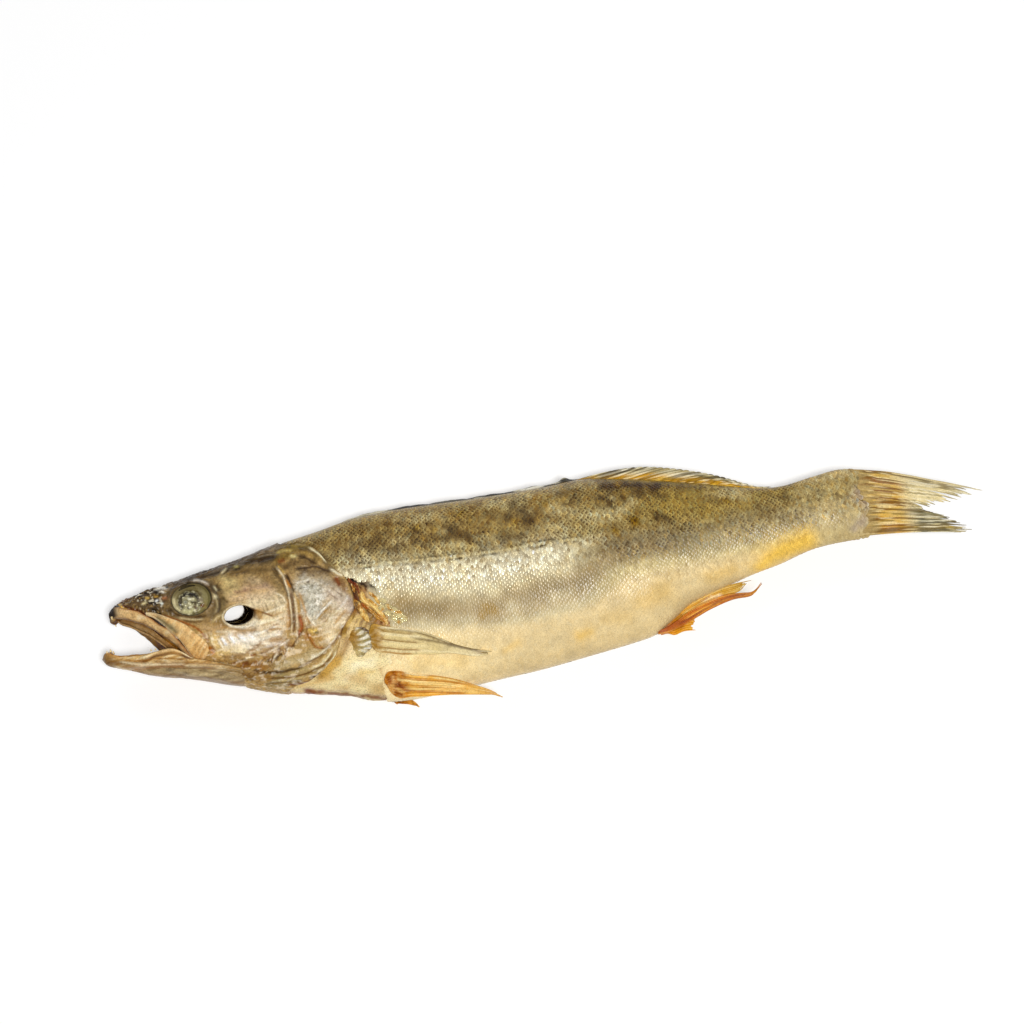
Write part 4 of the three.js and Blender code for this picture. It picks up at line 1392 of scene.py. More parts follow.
def paint_head(x, y, z):
    spots = columns(x, y, z)
    small, patchy, broad = grain(spots, 0.9, 61), grain(spots, 2.8, 62), grain(spots, 9, 63)
    streaks = grain(spots * np.array([0.35, 1.0, 1.0]), 1.0, 64)
    body_x, body_y = x, y
    top = ramp(back_at(x) - y + 1.2 * patchy, 5, 1.2)
    low, wide = belly_at(x), half_width_at(x)
    around, side = eye_reach(x, y), np.sign(z - middle(x))
    x, y = as_seen(x, y, z)
    tint, coat = base_coat(x, "#b3935c")
    # The head's stains, with painted highlights on the cheek and beside the hole, and painted shade under the
    # cheek.
    for points, width, code, strength in HEAD_STAINS_AND_PAINTED_LIGHT:
        coat(strength * stain(x, y, points, width, 0.35, patchy), code)
    coat(top * 0.8, "#4a3822")
    snout = snout_dark(x, y)
    coat(snout * 0.95, "#5c472c")
    coat(snout * ramp(patchy + 0.6 * small, -0.1, 0.15) * 0.95, "#21170e")
    coat(snout * ramp(patchy - small, 0.4, 0.7) * 0.95, "#e6dabc")
    coat(snout * ramp(small - 0.6 * patchy, 0.45, 0.75) * 0.7, "#927748")
    coat((1 - ramp(x, 8.5, 10.5)) * ramp(y, 17, 20) * 0.97, "#140d08")
    coat(within(around, 10.4, 13.4, 1.0) * (0.6 + 0.6 * patchy), "#463722")
    coat(1 - ramp(around, 9.4, 10.2), "#3a3220")
    shaded = 0.55 + 0.4 * ramp(body_x + body_y - EYE[0] - EYE[1], -6, 6)
    coat(bell(around - 10.1, 0.55) * shaded, "#241a0e")
    cover = stain(x, y, [(101, 14), (107, 11), (103, 2)], 6.5)
    flecks = grain(columns(x - y, 0.5 * (x + y), z), 0.8, 65)
    coat(cover * 0.35, "#c4c2b8")
    coat(cover * ramp(flecks, 0.1, 0.5) * 0.65, "#e9e4d6")
    coat(cover * ramp(-flecks, 0.1, 0.45) * 0.7, "#857c68")
    lilac = stain(x, y, [(112, 9), (117, 5), (119, 0)], 3.6, 0.4, patchy)
    coat(lilac * 0.45, "#c9b5a8")
    # The head's lines: painted shade in the crevices and painted highlights on the ridges.
    draw(tint, x, y, HEAD_LINES, small)
    # A dark line along the free edges of the gill cover and the spiny preopercle: painted shade under the
    # edge.
    for edge in (OPERCLE_LOWER, SPINY_EDGE):
        coat(0.7 * ridge(x, y, edge, 0.45, 0.03), "#7a4b1c")
    draw(tint, x, y, SNOUT_LINES, small)
    down, wall = in_hole(body_x, body_y, z)
    share = hole_offset(body_x, body_y, side)[0]
    coat(bell(share - 1.12, 0.08) * 0.6, "#f2e2ba")
    # The funnel under its lip is painted pale. The dark line along the lip and the brown patches towards the
    # hole are painted shade.
    funnel = brim(x, y, FUNNEL_LIP, 3.0, 0.3, 0.02) * ramp(share, 0.95, 1.05)
    coat(funnel * 0.9, "#f6e3b4")
    coat(funnel * 0.95 * ramp(77.5 - x, -1.5, 2.5), "#6d4516")
    coat(0.9 * ridge(x, y, FUNNEL_LIP, 0.5, 0.02) * (share > 1.0), "#7a4514")
    beyond = ramp(share, 0.98, 1.04)
    coat(beyond * stain(x, y, [(76.6, 6.6), (77.4, 3.6)], 2.0, 0.4, patchy) * 0.8, "#b88c4c")
    coat(beyond * stain(x, y, [(74, 8), (74.2, 4.8)], 1.2, 0.3, patchy) * 0.9, "#5a3816")
    # The hole's wall is painted dark brown, as painted shade inside the hole.
    coat(wall * ramp(down, 0.04, 0.12), "#33200f")
    inner_mouth = (body_x < 48) & (np.abs(z - middle(body_x)) < wide * 0.86) & (body_y < low + 12)
    roof = inner_mouth * ramp(wide * 0.9 - np.abs(z - middle(body_x)), 0.3, 2.5)
    coat(roof * 0.95, "#5f3710")
    coat(roof * ramp(patchy, 0.1, 0.6) * 0.5, "#96641f")
    blotched = 0.17 + 0.16 * ramp(y, 8, 20) + 0.08 * snout
    low_side = ramp(-y, -6, 4)
    # bright is the cheek's bulge with its painted highlight; dark streaks, creases and specks are kept off
    # it.
    bright = mound(x, y, 67, -6, 10, 6)
    brown = ramp(streaks, 0.2, 0.5) * 0.3 * low_side * (1 - 0.8 * bright)
    coat(brown * (1 - 0.6 * under_cover(x, y)), "#a1743c")
    coat(ramp(-streaks, 0.2, 0.5) * 0.35 * low_side, "#fff0d4")
    # The wrinkles are sunk in the relief and painted dark, as painted shade in them.
    crease = wrinkles(spots, y) * (1 - wall) * (1 - 0.7 * under_cover(x, y))
    coat(crease * (0.3 + 0.25 * ramp(y, 8, 20)) * (1 - 0.7 * bright), "#5d3f1c")
    tint = tint * (1 + blotched * small + 0.1 * patchy + 0.05 * broad)[:, None]
    specks = np.full(x.shape, 0.35) + 0.5 * top
    specks = specks * (1 - 0.8 * bright) * (1 - 0.9 * wall)
    gloss = 0.5 + 0.3 * patchy + 0.4 * snout - 0.4 * cover
    return tint, surface(x, specks, gloss * (1 - wall), 0.06 * cover * (1 - wall))


head = sheet(310, 300, head_wrap, sew=True)
hx, hy, hz = in_mm(np.array([vert.co[:] for vert in head.verts]))
through = (np.abs(hz - middle(hx)) < 0.05) & (hole_offset(hx, hy, np.ones(hx.shape))[0] < 2.0)
through &= np.abs(side_height(hx, hy) - middle(hx)) > 5
cut = [vert for vert, gone in zip(head.verts, through) if gone]
bmesh.ops.delete(head, geom=cut, context="VERTS")
head_piece = piece("head_skin", head, paint_head, head_finish, "head_bone")
head_piece.data.materials.append(hollow_finish)
hx, hy, hz = in_mm(places_of(head_piece.data))
walled = in_hole(hx, hy, hz)[1] & (in_hole(hx, hy, hz)[0] > 0.1)
for face in head_piece.data.polygons:
    face.material_index = int(all(walled[corner] for corner in face.vertices))

# %% [markdown]
# The mouth gapes, as it dried. The lower jaw is a narrow trough of bone that carries a lip with a fold under
# it, and the throat's loose skin hangs below. Both are tubes with lines of their own.

# %% Lower jaw and throat
JAW_TOP = line_through("""0,-0.4 1.5,1.6 5,1.7 10,0 16,-0.4 22,-1.2 27,-1.3 31.5,-0.4 35,-0.8 38,-3 43,-7.5
    52,-12 66,-18""")
JAW_BOTTOM = line_through("0,-1.8 1.5,-4 6,-6.2 11,-8.2 18,-10.4 29,-12.6 41,-15.2 52,-18 66,-22")
JAW_HALF = line_through("0,1.2 1.5,3.2 6,5.2 16,8 30,11.5 45,14.6 58,15.6 66,14")
THROAT_TOP = line_through("13,-7 30,-8 50,-10 84,-14")
THROAT_BOTTOM = line_through("13,-9 22,-12.8 36,-17 50,-21.6 60,-24.9 68,-26.6 76,-26 84,-22")
THROAT_HALF = line_through("13,1.5 22,4.5 36,8 50,11 60,12 68,10 76,6 84,3")
JAW_LENGTH, THROAT_FRONT, THROAT_REAR = 66, 13, 82.0
LIP_FOLD = places("18,-4.6 22,-5 25.6,-4 30,-4 34.4,-4.2 38,-5.6 41.5,-8.2 44,-9.6")
LIP_GROOVE = places("17,-6 20,-6.6 23,-6.4 26,-5.4 30.6,-5.5 34.4,-5.7 38,-7 41.4,-9.3 45,-11")
JAW_STREAK = places("6,-4.2 15.5,-6.8 27,-8.6 39.5,-11.4 50,-14 58,-17")
JAW_EDGE = places("9,-7.4 15,-9 29,-12 38.5,-14.8 49,-17.4 62,-20.5")


JAW_LINES = rows("""
14,-7 26,-9 38,-11.4 50,-14.6 60,-17 | 0.55 #86582a 0.85
16,-8 28,-10 40,-12.2 | 0.5 #ecd6ac 0.7
34,-12.6 44,-14.6 54,-17 | 0.6 #8c6a44 0.8
8,-1.6 15,-2.8 22,-3.4 | 0.5 #8f5a1e 0.8
12,-4.6 20,-6.2 30,-7 | 0.45 #a8702c 0.7
9,-4.4 18,-7.6 28,-9.6 | 0.5 #f4e2b8 0.7
26,-7 34,-8.4 42,-11 | 0.5 #8d5c26 0.75
20,-9.4 30,-11 40,-13 | 0.5 #94622a 0.8
40,-12.6 50,-15 60,-17.6 | 0.6 #d9bd8c 0.7
38,-15.4 46,-17 56,-19 | 0.7 #7a5c30 0.75
30,-3 36,-3.8 40,-6 | 0.6 #fbe8be 0.8
33,-1.6 38,-3.6 | 0.6 #9a5a1c 0.8
1.5,-2 3,-4.4 | 0.9 #6b4a20 0.7
4,1.4 8,-0.4 13,-1.4 | 0.6 #e2a85c 0.75
""")


def tube_section(x, turn, top, bottom, half):
    high, low = top(x), bottom(x)
    side = np.sin(turn)
    y = (high + low) / 2 + (high - low) / 2 * np.cos(turn)
    return y, middle(x) + half(x) * np.sign(side) * np.abs(side) ** 0.8


def jaw_wrap(u, v):
    turn = 2 * np.pi * v
    x = JAW_LENGTH * u**1.25
    y, z = tube_section(x, turn, JAW_TOP, JAW_BOTTOM, JAW_HALF)
    spots = columns(x, y, z)
    lift = 0.25 * grain(spots, 2.2, 71) + 0.12 * grain(spots, 0.8, 72)
    lift += 1.0 * ridge(x, y, LIP_FOLD, 0.8) - 1.4 * ridge(x, y, LIP_GROOVE, 0.6)
    above_streak = [(px, py + 1.3) for px, py in JAW_STREAK]
    lift -= 0.45 * ridge(x, y, JAW_STREAK, 0.6) - 0.4 * ridge(x, y, above_streak, 0.7)
    lift -= 0.7 * ridge(x, y, JAW_EDGE, 0.6)
    lift += 0.5 * ridge(x, y, [(6, 0.2), (14, -1.2), (22, -1.8), (29, -2)], 0.8)
    start = np.clip(x / 2.5, 0, 1)
    rounding = np.sqrt(1 - (1 - start) ** 2)
    centre = (JAW_TOP(x) + JAW_BOTTOM(x)) / 2
    y, z = centre + (y - centre) * rounding, middle(x) + (z - middle(x)) * rounding
    trough = np.clip(1 - (np.abs(((turn + np.pi) % (2 * np.pi)) - np.pi) / (0.3 * np.pi)) ** 2, 0, 1)
    y = y - trough**0.7 * 0.55 * (JAW_TOP(x) - JAW_BOTTOM(x)) * ramp(x, 4, 10)
    z = z + lift * np.sign(np.sin(turn)) * np.abs(np.sin(turn)) * start
    y = y + lift * np.cos(turn) * start * 0.6
    return x, y, np.maximum(z, REST)


def paint_jaw(x, y, z):
    spots = columns(x, y, z)
    small, patchy = grain(spots, 0.8, 73), grain(spots, 3, 74)
    drawn = grain(spots * np.array([0.25, 1.6, 1.0]), 1.4, 75)
    tint, coat = base_coat(x, "#d8b478")
    coat(ramp(y, JAW_BOTTOM(x) + 5, JAW_BOTTOM(x) + 1) * 0.6, "#b49565")
    coat(ramp(drawn, 0.1, 0.45) * 0.65, "#a8783a")
    coat(ramp(-drawn, 0.1, 0.45) * 0.65, "#f0dcae")
    coat((1 - ramp(x, 3, 9)) * 0.85, "#7d5a2e")
    coat(0.8 * stain(x, y, [(4, 1.5), (9, -1)], 2.2), "#c08a48")
    coat(0.85 * stain(x, y, [(4, -3.4), (10, -5.4), (20, -8.4)], 1.6), "#7d562a")
    coat(0.6 * stain(x, y, [(22, -10.6), (36, -13)], 1.8), "#a07a4a")
    # Painted highlight on the raised lip fold; painted shade in the sunk lip groove and along the sunk jaw
    # edge.
    coat(0.85 * ridge(x, y, LIP_FOLD, 0.7), "#f6e4b8")
    coat(0.95 * ridge(x, y, LIP_GROOVE, 0.6), "#5e2f0e")
    draw(tint, x, y, JAW_LINES, small)
    coat(0.6 * ridge(x, y, JAW_EDGE, 0.7), "#96663a")
    coat(0.6 * stain(x, y, [(24, -3), (33, -4), (38, -6)], 2), "#d7a965")
    inside = (np.abs(z - middle(x)) < JAW_HALF(x) * 0.72) & (y > (JAW_TOP(x) + JAW_BOTTOM(x)) / 2)
    coat(inside * 0.7, "#8a5c2a")
    coat(ramp(x + 3 * patchy, 52, 64) * 0.8, "#9a7a48")
    tint = tint * (1 + 0.08 * small + 0.07 * patchy)[:, None]
    return tint, surface(x, 0.4, 0.5 + 0.2 * patchy)


piece("lower_jaw", sheet(170, 170, jaw_wrap, sew=True), paint_jaw, head_finish, "head_bone")


def throat_wrap(u, v):
    turn = 2 * np.pi * v
    x = THROAT_FRONT + (THROAT_REAR - THROAT_FRONT) * u
    y, z = tube_section(x, turn, THROAT_TOP, THROAT_BOTTOM, THROAT_HALF)
    spots = columns(x, y, z)
    pleats = np.sin((y + 0.42 * x) * 1.5 + 1.2 * grain(spots, 6, 81))
    lift = (0.35 * pleats + 0.3 * grain(spots, 2.5, 82)) * ramp(x, 15, 24)
    start = np.clip((x - THROAT_FRONT) / 3, 0, 1) ** 0.5
    z = middle(x) + (z - middle(x)) * start + lift * np.sin(turn)
    y = y + 0.5 * lift * np.cos(turn)
    return x, y, np.maximum(z, REST)


def paint_throat(x, y, z):
    spots = columns(x, y, z)
    small, patchy = grain(spots, 0.8, 83), grain(spots, 4, 84)
    drawn = grain(spots * np.array([0.3, 1.5, 1.0]), 1.6, 85)
    tint, coat = base_coat(x, "#a68f66")
    coat(ramp(drawn, 0.0, 0.35) * 0.65, "#786344")
    coat(ramp(-drawn, 0.1, 0.45) * 0.6, "#cdb98e")
    coat(ramp(x + 2 * patchy, THROAT_REAR - 10, THROAT_REAR - 1) * 0.85, "#8f6c34")
    coat(ramp(y, THROAT_BOTTOM(x) + 2, THROAT_BOTTOM(x)) * 0.5, "#8a5c30")
    coat(ramp(x, 55, 75) * 0.4, "#a98148")
    return tint * (1 + 0.1 * small + 0.1 * patchy)[:, None], surface(x, 0.5, 0.6 + 0.2 * patchy)


piece("throat", sheet(170, 130, throat_wrap, sew=True), paint_throat, skin_finish, "dried_skin")

# %% [markdown]
# The upper lip is a rounded band that runs from the snout's tip down to the corner of the mouth. Behind it
# lies the jaw plate, the maxilla: a long thin bone, broad and round at its rear end. Both exist on either
# side. The far ones hang a little lower, as the head has twisted in drying.

# %% Lips and jaw plates
LIP_UPPER = places("""7.4,19.6 9.5,21.4 12,21.4 16,19.6 18.7,18.5 21.4,17.4 23.9,15.4 26.8,13.1 29.3,10.5
    32,7.9 34.6,6.1 36.8,2.6 40.3,-3.5 43.2,-9""")
LIP_LOWER = places("""7,17.9 8.4,17.5 12.2,16.5 15.3,15.5 18,14.1 20.6,12.7 23.3,11.3 25.8,9.3 28.4,7.1
    30.8,4.6 33.3,2.1 35.7,-0.5 38.2,-3.5 42,-9.4""")
PLATE_UPPER = places("25.5,15.6 29.3,14.2 33.4,12 37.4,9.7 40.6,7.8 43.6,5.3 47.5,0.8 50.7,-3.2 52.2,-5.8")
PLATE_LOWER = places("25.5,15 29.2,12.6 33.1,8.4 36.3,3.8 39.5,-0.2 41.9,-5.2 43.8,-9.4 45.6,-11.4")
FAR_RIM = places("9,17.2 11.8,16 14.4,13.2 18,9.4 21.4,5.2 24.4,1.2 28.4,-3.8 34.5,-8.6")


PLATE_AHEAD = 0.75, -0.66  # where the plate's round end points


def cheek_height(x, y, fall):
    """The snout's side, kept from rolling under below its widest place."""
    widest = (back_at(x) + belly_at(x)) / 2
    steep = side_height(x, np.maximum(y, belly_at(x) + 0.5))
    gentle = middle(x) + half_width_at(x) - fall * np.maximum(widest - y, 0)
    return np.maximum(steep, gentle)


def sagging(x):
    """How much lower the far side's lip hangs."""
    return (2.2 + 0.17 * (x - 8)) * ramp(x, 7, 12) * (1 - ramp(x, 34, 50))


def to_side(x, y, z, side):
    if side > 0:
        return x, y, z
    return x, y - sagging(x), other_side(x, z, -1, 0.6)


def lip_wrap(side):
    def wrap(u, v):
        across = np.clip(v / 0.72, 0, 1)  # the lip's face, and then the edge that turns in
        under = np.clip((v - 0.72) / 0.28, 0, 1)
        x, y = between(LIP_UPPER, LIP_LOWER, u, across)
        spots = columns(x, y, 0 * x)
        bulge = np.sin(np.pi * np.clip(across * 0.86 + 0.14, 0, 1)) ** 0.6
        front = ramp(x, 7, 12)
        z = cheek_height(x, y, 0.42) * front + (1 - front) * (middle(x) + half_width_at(x) * 0.8)
        z = z + 1.0 * bulge + 0.16 * grain(spots, 1.2, 91) - 0.4 - 3.0 * under
        y = y + 1.2 * under * np.sin(np.pi * under)
        return to_side(x, y, z, side)

    return wrap


def plate_wrap(side):
    def wrap(u, v):
        x, y = between(PLATE_UPPER, PLATE_LOWER, u, v)
        round_end = ramp(u, 0.82, 1.0) * np.sin(np.pi * v) * 2.2
        x, y = x + round_end * PLATE_AHEAD[0], y + round_end * PLATE_AHEAD[1]
        spots = columns(x, y, 0 * x)
        edge = np.minimum(np.minimum(v, 1 - v), (1 - u) * 2.5)
        z = cheek_height(x, y, 0.4) + 0.9 * ramp(edge, 0, 0.12) + 0.25 - 1.2 * (1 - ramp(u, 0, 0.12))
        z = z + 0.3 * bell(v - 0.3, 0.12) + 0.1 * grain(spots, 1.5, 92)
        z = z + 0.03 * np.sin(v * 30 + 2 * grain(spots, 4, 93)) * ramp(u, 0.35, 0.7)
        return to_side(x, y, z, side)

    return wrap


def paint_lip(x, y, z):
    small, patchy = grains(x, y, z, (0.7, 94), (2.4, 95))
    tint, coat = base_coat(x, "#e0ba80")
    coat(ramp(patchy, 0, 0.6) * 0.5, "#f8e2b6")
    coat(ramp(-patchy, 0.1, 0.7) * 0.6, "#a98256")
    coat(0.8 * ridge(x, y, LIP_LOWER, 0.55, 0.02), "#6a3c16")
    coat(0.85 * ridge(x, y, LIP_UPPER, 0.5, 0.02), "#8a4a14")
    coat((1 - ramp(x, 10, 17)) * 0.6, "#a08765")
    coat((1 - ramp(x, 9.5, 13)) * ramp(y, 16.6, 18.2), "#241b14")
    # The far lip, below the middle, is painted darker: painted shade.
    coat(ramp(middle(x) - z, -4, 2) * 0.6, "#8d6330")
    return tint * (1 + 0.12 * small)[:, None], surface(x, 0.4, 0.45 + 0.2 * patchy)


def paint_plate(x, y, z):
    small, patchy = grains(x, y, z, (0.7, 96), (3, 97))
    drawn = grain(columns((x + 0.9 * y) * 0.2, x - 1.0 * y, 0 * x), 1.4, 98)
    tint, coat = base_coat(x, "#e9bf80")
    coat(ramp(drawn, 0.1, 0.45) * 0.5, "#b27e40")
    coat(ramp(-drawn, 0.1, 0.45) * 0.55, "#efd4a0")
    coat(0.9 * stain(x, y, [(31, 11.5), (35, 7.8), (38.6, 4)], 1.7, 0.25, patchy), "#6f6545")
    coat(0.5 * stain(x, y, [(40, 5), (44, 0)], 2, 0.3, patchy), "#e9c78f")
    coat(0.6 * stain(x, y, [(44, -5), (46, -8)], 2.4, 0.3, patchy), "#dcae6c")
    for edge in (PLATE_UPPER, PLATE_LOWER):
        coat(0.8 * ridge(x, y, edge, 0.45, 0.0), "#f4deb0")
    # The far jaw plate, below the middle, is painted darker: painted shade.
    coat(ramp(middle(x) - z, -4, 2) * 0.5, "#8d6330")
    return tint * (1 + 0.08 * small + 0.05 * patchy)[:, None], surface(x, 0.3, 0.5 + 0.2 * patchy)


lips, plates = bmesh.new(), bmesh.new()
for side in (1, -1):
    sheet(150, 30, lip_wrap(side), into=lips)
    sheet(120, 50, plate_wrap(side), into=plates)
piece("lips", lips, paint_lip, head_finish, "head_bone", thickness=0.5, outward=False)
piece("jaw_plates", plates, paint_plate, head_finish, "head_bone", thickness=0.6, outward=False)

# %% [markdown]
# Between the lips one looks up at the palate, a hollow of brown dried skin that darkens towards the throat.


# %% Palate
FAR_HEIGHT = 4.5  # mm above the table, on the far side


def palate_wrap(u, v):
    far_x, far_y = along_line(FAR_RIM, u)
    near_x, near_y = along_line(LIP_LOWER, 0.04 + 0.9 * u)
    x, y = far_x + (near_x - far_x) * v, far_y + 0.6 + (near_y + 0.4 - far_y) * v
    hollow = np.sin(np.pi * v) ** 0.8
    near_z = cheek_height(near_x, near_y, 0.42) - 1.6
    z = FAR_HEIGHT + (near_z - FAR_HEIGHT) * v
    spots = columns(x, y, z)
    return x, y + hollow * (1.5 + 4.5 * ramp(u, 0, 0.5)) + 0.4 * grain(spots, 2, 99), z


def paint_palate(x, y, z):
    spots = columns(x, y, z)
    small, drawn = grain(spots, 0.8, 100), grain(spots * np.array([0.4, 0.4, 1.4]), 1.5, 106)
    tint, coat = base_coat(x, "#8a6a32")
    coat(ramp(x, 16, 24) * 0.8, "#6d4812")
    coat(ramp(x, 23, 27) * (1 - ramp(x, 28, 31)) * 0.9, "#4a200a")
    coat(ramp(x, 29, 32) * 0.85, "#cc8e3c")
    coat(ramp(drawn, 0.1, 0.6) * 0.4, "#a8823c")
    coat(ramp(-drawn, 0.2, 0.7) * 0.5, "#3f240c")
    return tint * (1 + 0.12 * small)[:, None], surface(x, 0.4, 0.5 + 0.2 * small)


palate = sheet(90, 60, palate_wrap)
piece("palate", palate, paint_palate, head_finish, "head_bone", thickness=0.4, outward=False)

# %% [markdown]
# A zander bites with a few long canine teeth at the tips of its jaws, and a row of small ones between. They
# are cones, slightly crooked, set along the lips on both sides.

# %% Teeth
tooth_white = dried("teeth", 2.0, 0.3, 0.1, 0.35, glow=0.15)
teeth = bmesh.new()
chance = np.random.default_rng(7)


def tooth(x, y, z, length, width, down):
    lean = Vector((chance.normal(0, 0.18), -1.0 if down else 1.0, chance.normal(0, 0.15))).normalized()
    made = bmesh.ops.create_cone(teeth, cap_ends=True, segments=8, radius1=width * MM, radius2=0.06 * MM,
                                 depth=length * MM)["verts"]
    turn = lean.to_track_quat("Z", "X").to_matrix().to_4x4()
    bmesh.ops.transform(teeth, matrix=turn, verts=made)
    root = Vector(in_metres(x, y, z).tolist())
    bmesh.ops.translate(teeth, verts=made, vec=root + lean * length * 0.35 * MM)


for side in (1, -1):
    sag = 0 if side > 0 else -2.4
    tooth(8.3, 17.6 + sag, MIDDLE + side * 4.0, 1.7, 0.6, True)
    tooth(3.2, 1.3, MIDDLE + side * 2.8, 1.3, 0.65, False)
    tooth(5.2, 1.4, MIDDLE + side * 4.0, 1.7, 0.75, False)
    for share in np.linspace(0.2, 0.84, 9):
        x, y = (float(value[0]) for value in along_line(LIP_LOWER, np.array([share])))
        height = cheek_height(np.array([x]), np.array([y]), 0.42)[0]
        z = float(middle(x) + side * (height - middle(x) - 1.4))
        low = float(sagging(x)) if side < 0 else 0.0
        tooth(x, y - low + 0.35, max(z, 1.2), chance.uniform(0.5, 0.8), 0.26, True)
    for x in (24.4, 26.6):
        tooth(x, float(JAW_TOP(x)) - 0.7, float(middle(x) + side * JAW_HALF(x) * 0.6), 1.2, 0.5, False)


def paint_teeth(x, *_):
    return base_coat(x, "#ecd09a")[0], surface(x, 0.2, 0.6)


piece("teeth", teeth, paint_teeth, tooth_white, "teeth", outward=False)
# %% [markdown]
# The eyes have dried into flat discs. Each lies in an oval socket with a glassy brown wall. In the middle
# the lens and cornea have wrinkled to a cream coloured plate, with dark cracks and a small grey pupil.

# %% Eyes
PLATE, PLATE_RADIUS = (46.7, 16.2), 6.3
PLATE_OVAL = 1.06
PUPIL = (45.0, 16.7)


# The two pale marks by the pupil, at 44,19.2 and 43.8,14.8, are painted highlights.
EYE_MARKS = rows("""
42,21 44,21.3 46.6,21 48.8,19.3 | 0.7 #17120b 0.9
37.5,21 37.6,17 40,13.6 | 0.6 #ded3a8 0.8
41,13.6 43.6,12.8 46,13.4 | 0.8 #cdc692 0.85
40.6,18.6 40.2,16.6 41.4,15 | 0.6 #2c2414 0.85
46.6,15.4 47.6,13.2 | 0.7 #54381c 0.85
50,18.6 50.6,16.2 | 0.9 #97896e 0.8
48.6,22.4 51.4,19.8 | 0.6 #5a4c2c 0.8
52.2,14 52,12.6 | 0.7 #c0a45e 0.8
44,19.2 46,18.6 | 0.5 #e9e4c6 0.85
43.8,14.8 45.4,15.2 | 0.5 #e9e4c6 0.8
""")


def eye_wrap(side):
    def wrap(u, v):
        reach, angle = 1.0 * u, 2 * np.pi * v
        a, b = EYE_LONG * reach * np.cos(angle), EYE_HIGH * reach * np.sin(angle)
        x = EYE[0] + a * math.cos(EYE_TURN) - b * math.sin(EYE_TURN)
        y = EYE[1] + a * math.sin(EYE_TURN) + b * math.cos(EYE_TURN)
        spots = columns(x, y, 0 * x)
        from_plate = np.hypot(x - PLATE[0], (y - PLATE[1]) * PLATE_OVAL)
        dish = -2.6 + 1.3 * np.exp(-((from_plate / 6.6) ** 8)) + 2.2 * ramp(reach, 0.8, 1.0)
        crumple = 0.3 * grain(spots, 1.3, 101) + 0.16 * grain(spots, 0.6, 102)
        ring = bell(from_plate - PLATE_RADIUS, 0.7)
        dish = dish + crumple * ramp(8.0 - from_plate, 0, 3) - 0.4 * ring * (0.6 + grain(spots, 1.5, 103))
        dish = dish - 0.4 * np.exp(-(((x - PUPIL[0]) ** 2 + (y - PUPIL[1]) ** 2) / 0.8))
        z = side_height(x, y) + dish
        return (x, y, z) if side > 0 else (x, y, other_side(x, z, -1))

    return wrap


def paint_eyes(x, y, z):
    spots = columns(x, y, 0 * z)
    small, cracks = grain(spots, 0.8, 104), grain(spots, 1.7, 105)
    reach = eye_reach(x, y) / 10
    from_plate = np.hypot(x - PLATE[0], (y - PLATE[1]) * PLATE_OVAL)
    tint, coat = base_coat(x, "#857a4c")
    left = ramp(EYE[0] - x, 0, 7)
    coat(left * 0.7, "#8f835e")
    coat(ramp(y - EYE[1], 1, 6) * 0.7, "#6e6140")
    pale = ramp(PLATE[0] - x + 0.9 * (PLATE[1] - y), 3.2, 6.4) * (reach < 0.93)
    coat(pale * 0.7, "#cfc296")
    plate = 1 - ramp(from_plate + 0.5 * cracks, 5.7, 6.5)
    coat(plate * 0.85, "#a9a27c")
    coat(plate * ramp(x - PLATE[0], 1.5, 4) * 0.6, "#958d6a")
    upper = ramp((x - PLATE[0]) * 0.45 + (y - PLATE[1]), -1.4, 1.6)
    ring = bell(from_plate - 4.6 + 1.0 * cracks, 1.0)
    coat(ring * upper * 0.95, "#231a10")
    outer = bell(from_plate - 6.4, 0.4)
    coat(outer * (0.45 + 0.4 * cracks), "#4a3d22")
    coat(plate * ramp(cracks - small * 0.7, 0.3, 0.55) * 0.85, "#3f341f")
    coat(plate * ramp(small - cracks, 0.4, 0.7) * 0.7, "#e6dfba")
    draw(tint, *as_seen(x, y, z), EYE_MARKS, small)
    pupil = np.hypot(x - PUPIL[0], y - PUPIL[1])
    coat(bell(pupil - 1.1, 0.3) * 0.7, "#4a4228")
    coat(1 - ramp(pupil, 0.5, 1.0), "#8b8a76")
    rusty = ramp(cracks, 0.1, 0.4) * np.exp(-(((x - 52) ** 2 + (y - 12.5) ** 2) / 4))
    coat(rusty, "#6b3a18")
    # The socket's rim is painted near black, as painted shade where the socket meets the head.
    coat(ramp(reach + 0.02 * cracks, 0.93, 0.98) * 0.9, "#2a1f12")
    gloss = 0.9 - 0.4 * plate + 0.2 * small
    return tint * (1 + 0.12 * small)[:, None], surface(x, 0.3, gloss)


eye_finish = dried("eyes", 2.2, 0.4, 0.35, 0.4, coat=0.3)
eyes = bmesh.new()
for side in (1, -1):
    sheet(70, 150, eye_wrap(side), sew=True, into=eyes, mirrored=side < 0)
piece("eyes", eyes, paint_eyes, eye_finish, "eyes", outward=False)
# %% [markdown]
# Behind the gill cover the skin tore when the fish was gutted. Orange strips of it have dried there, curled
# at their edges, over a dark gap, and a few scales hang loose. Each strip is a ribbon along a drawn line.

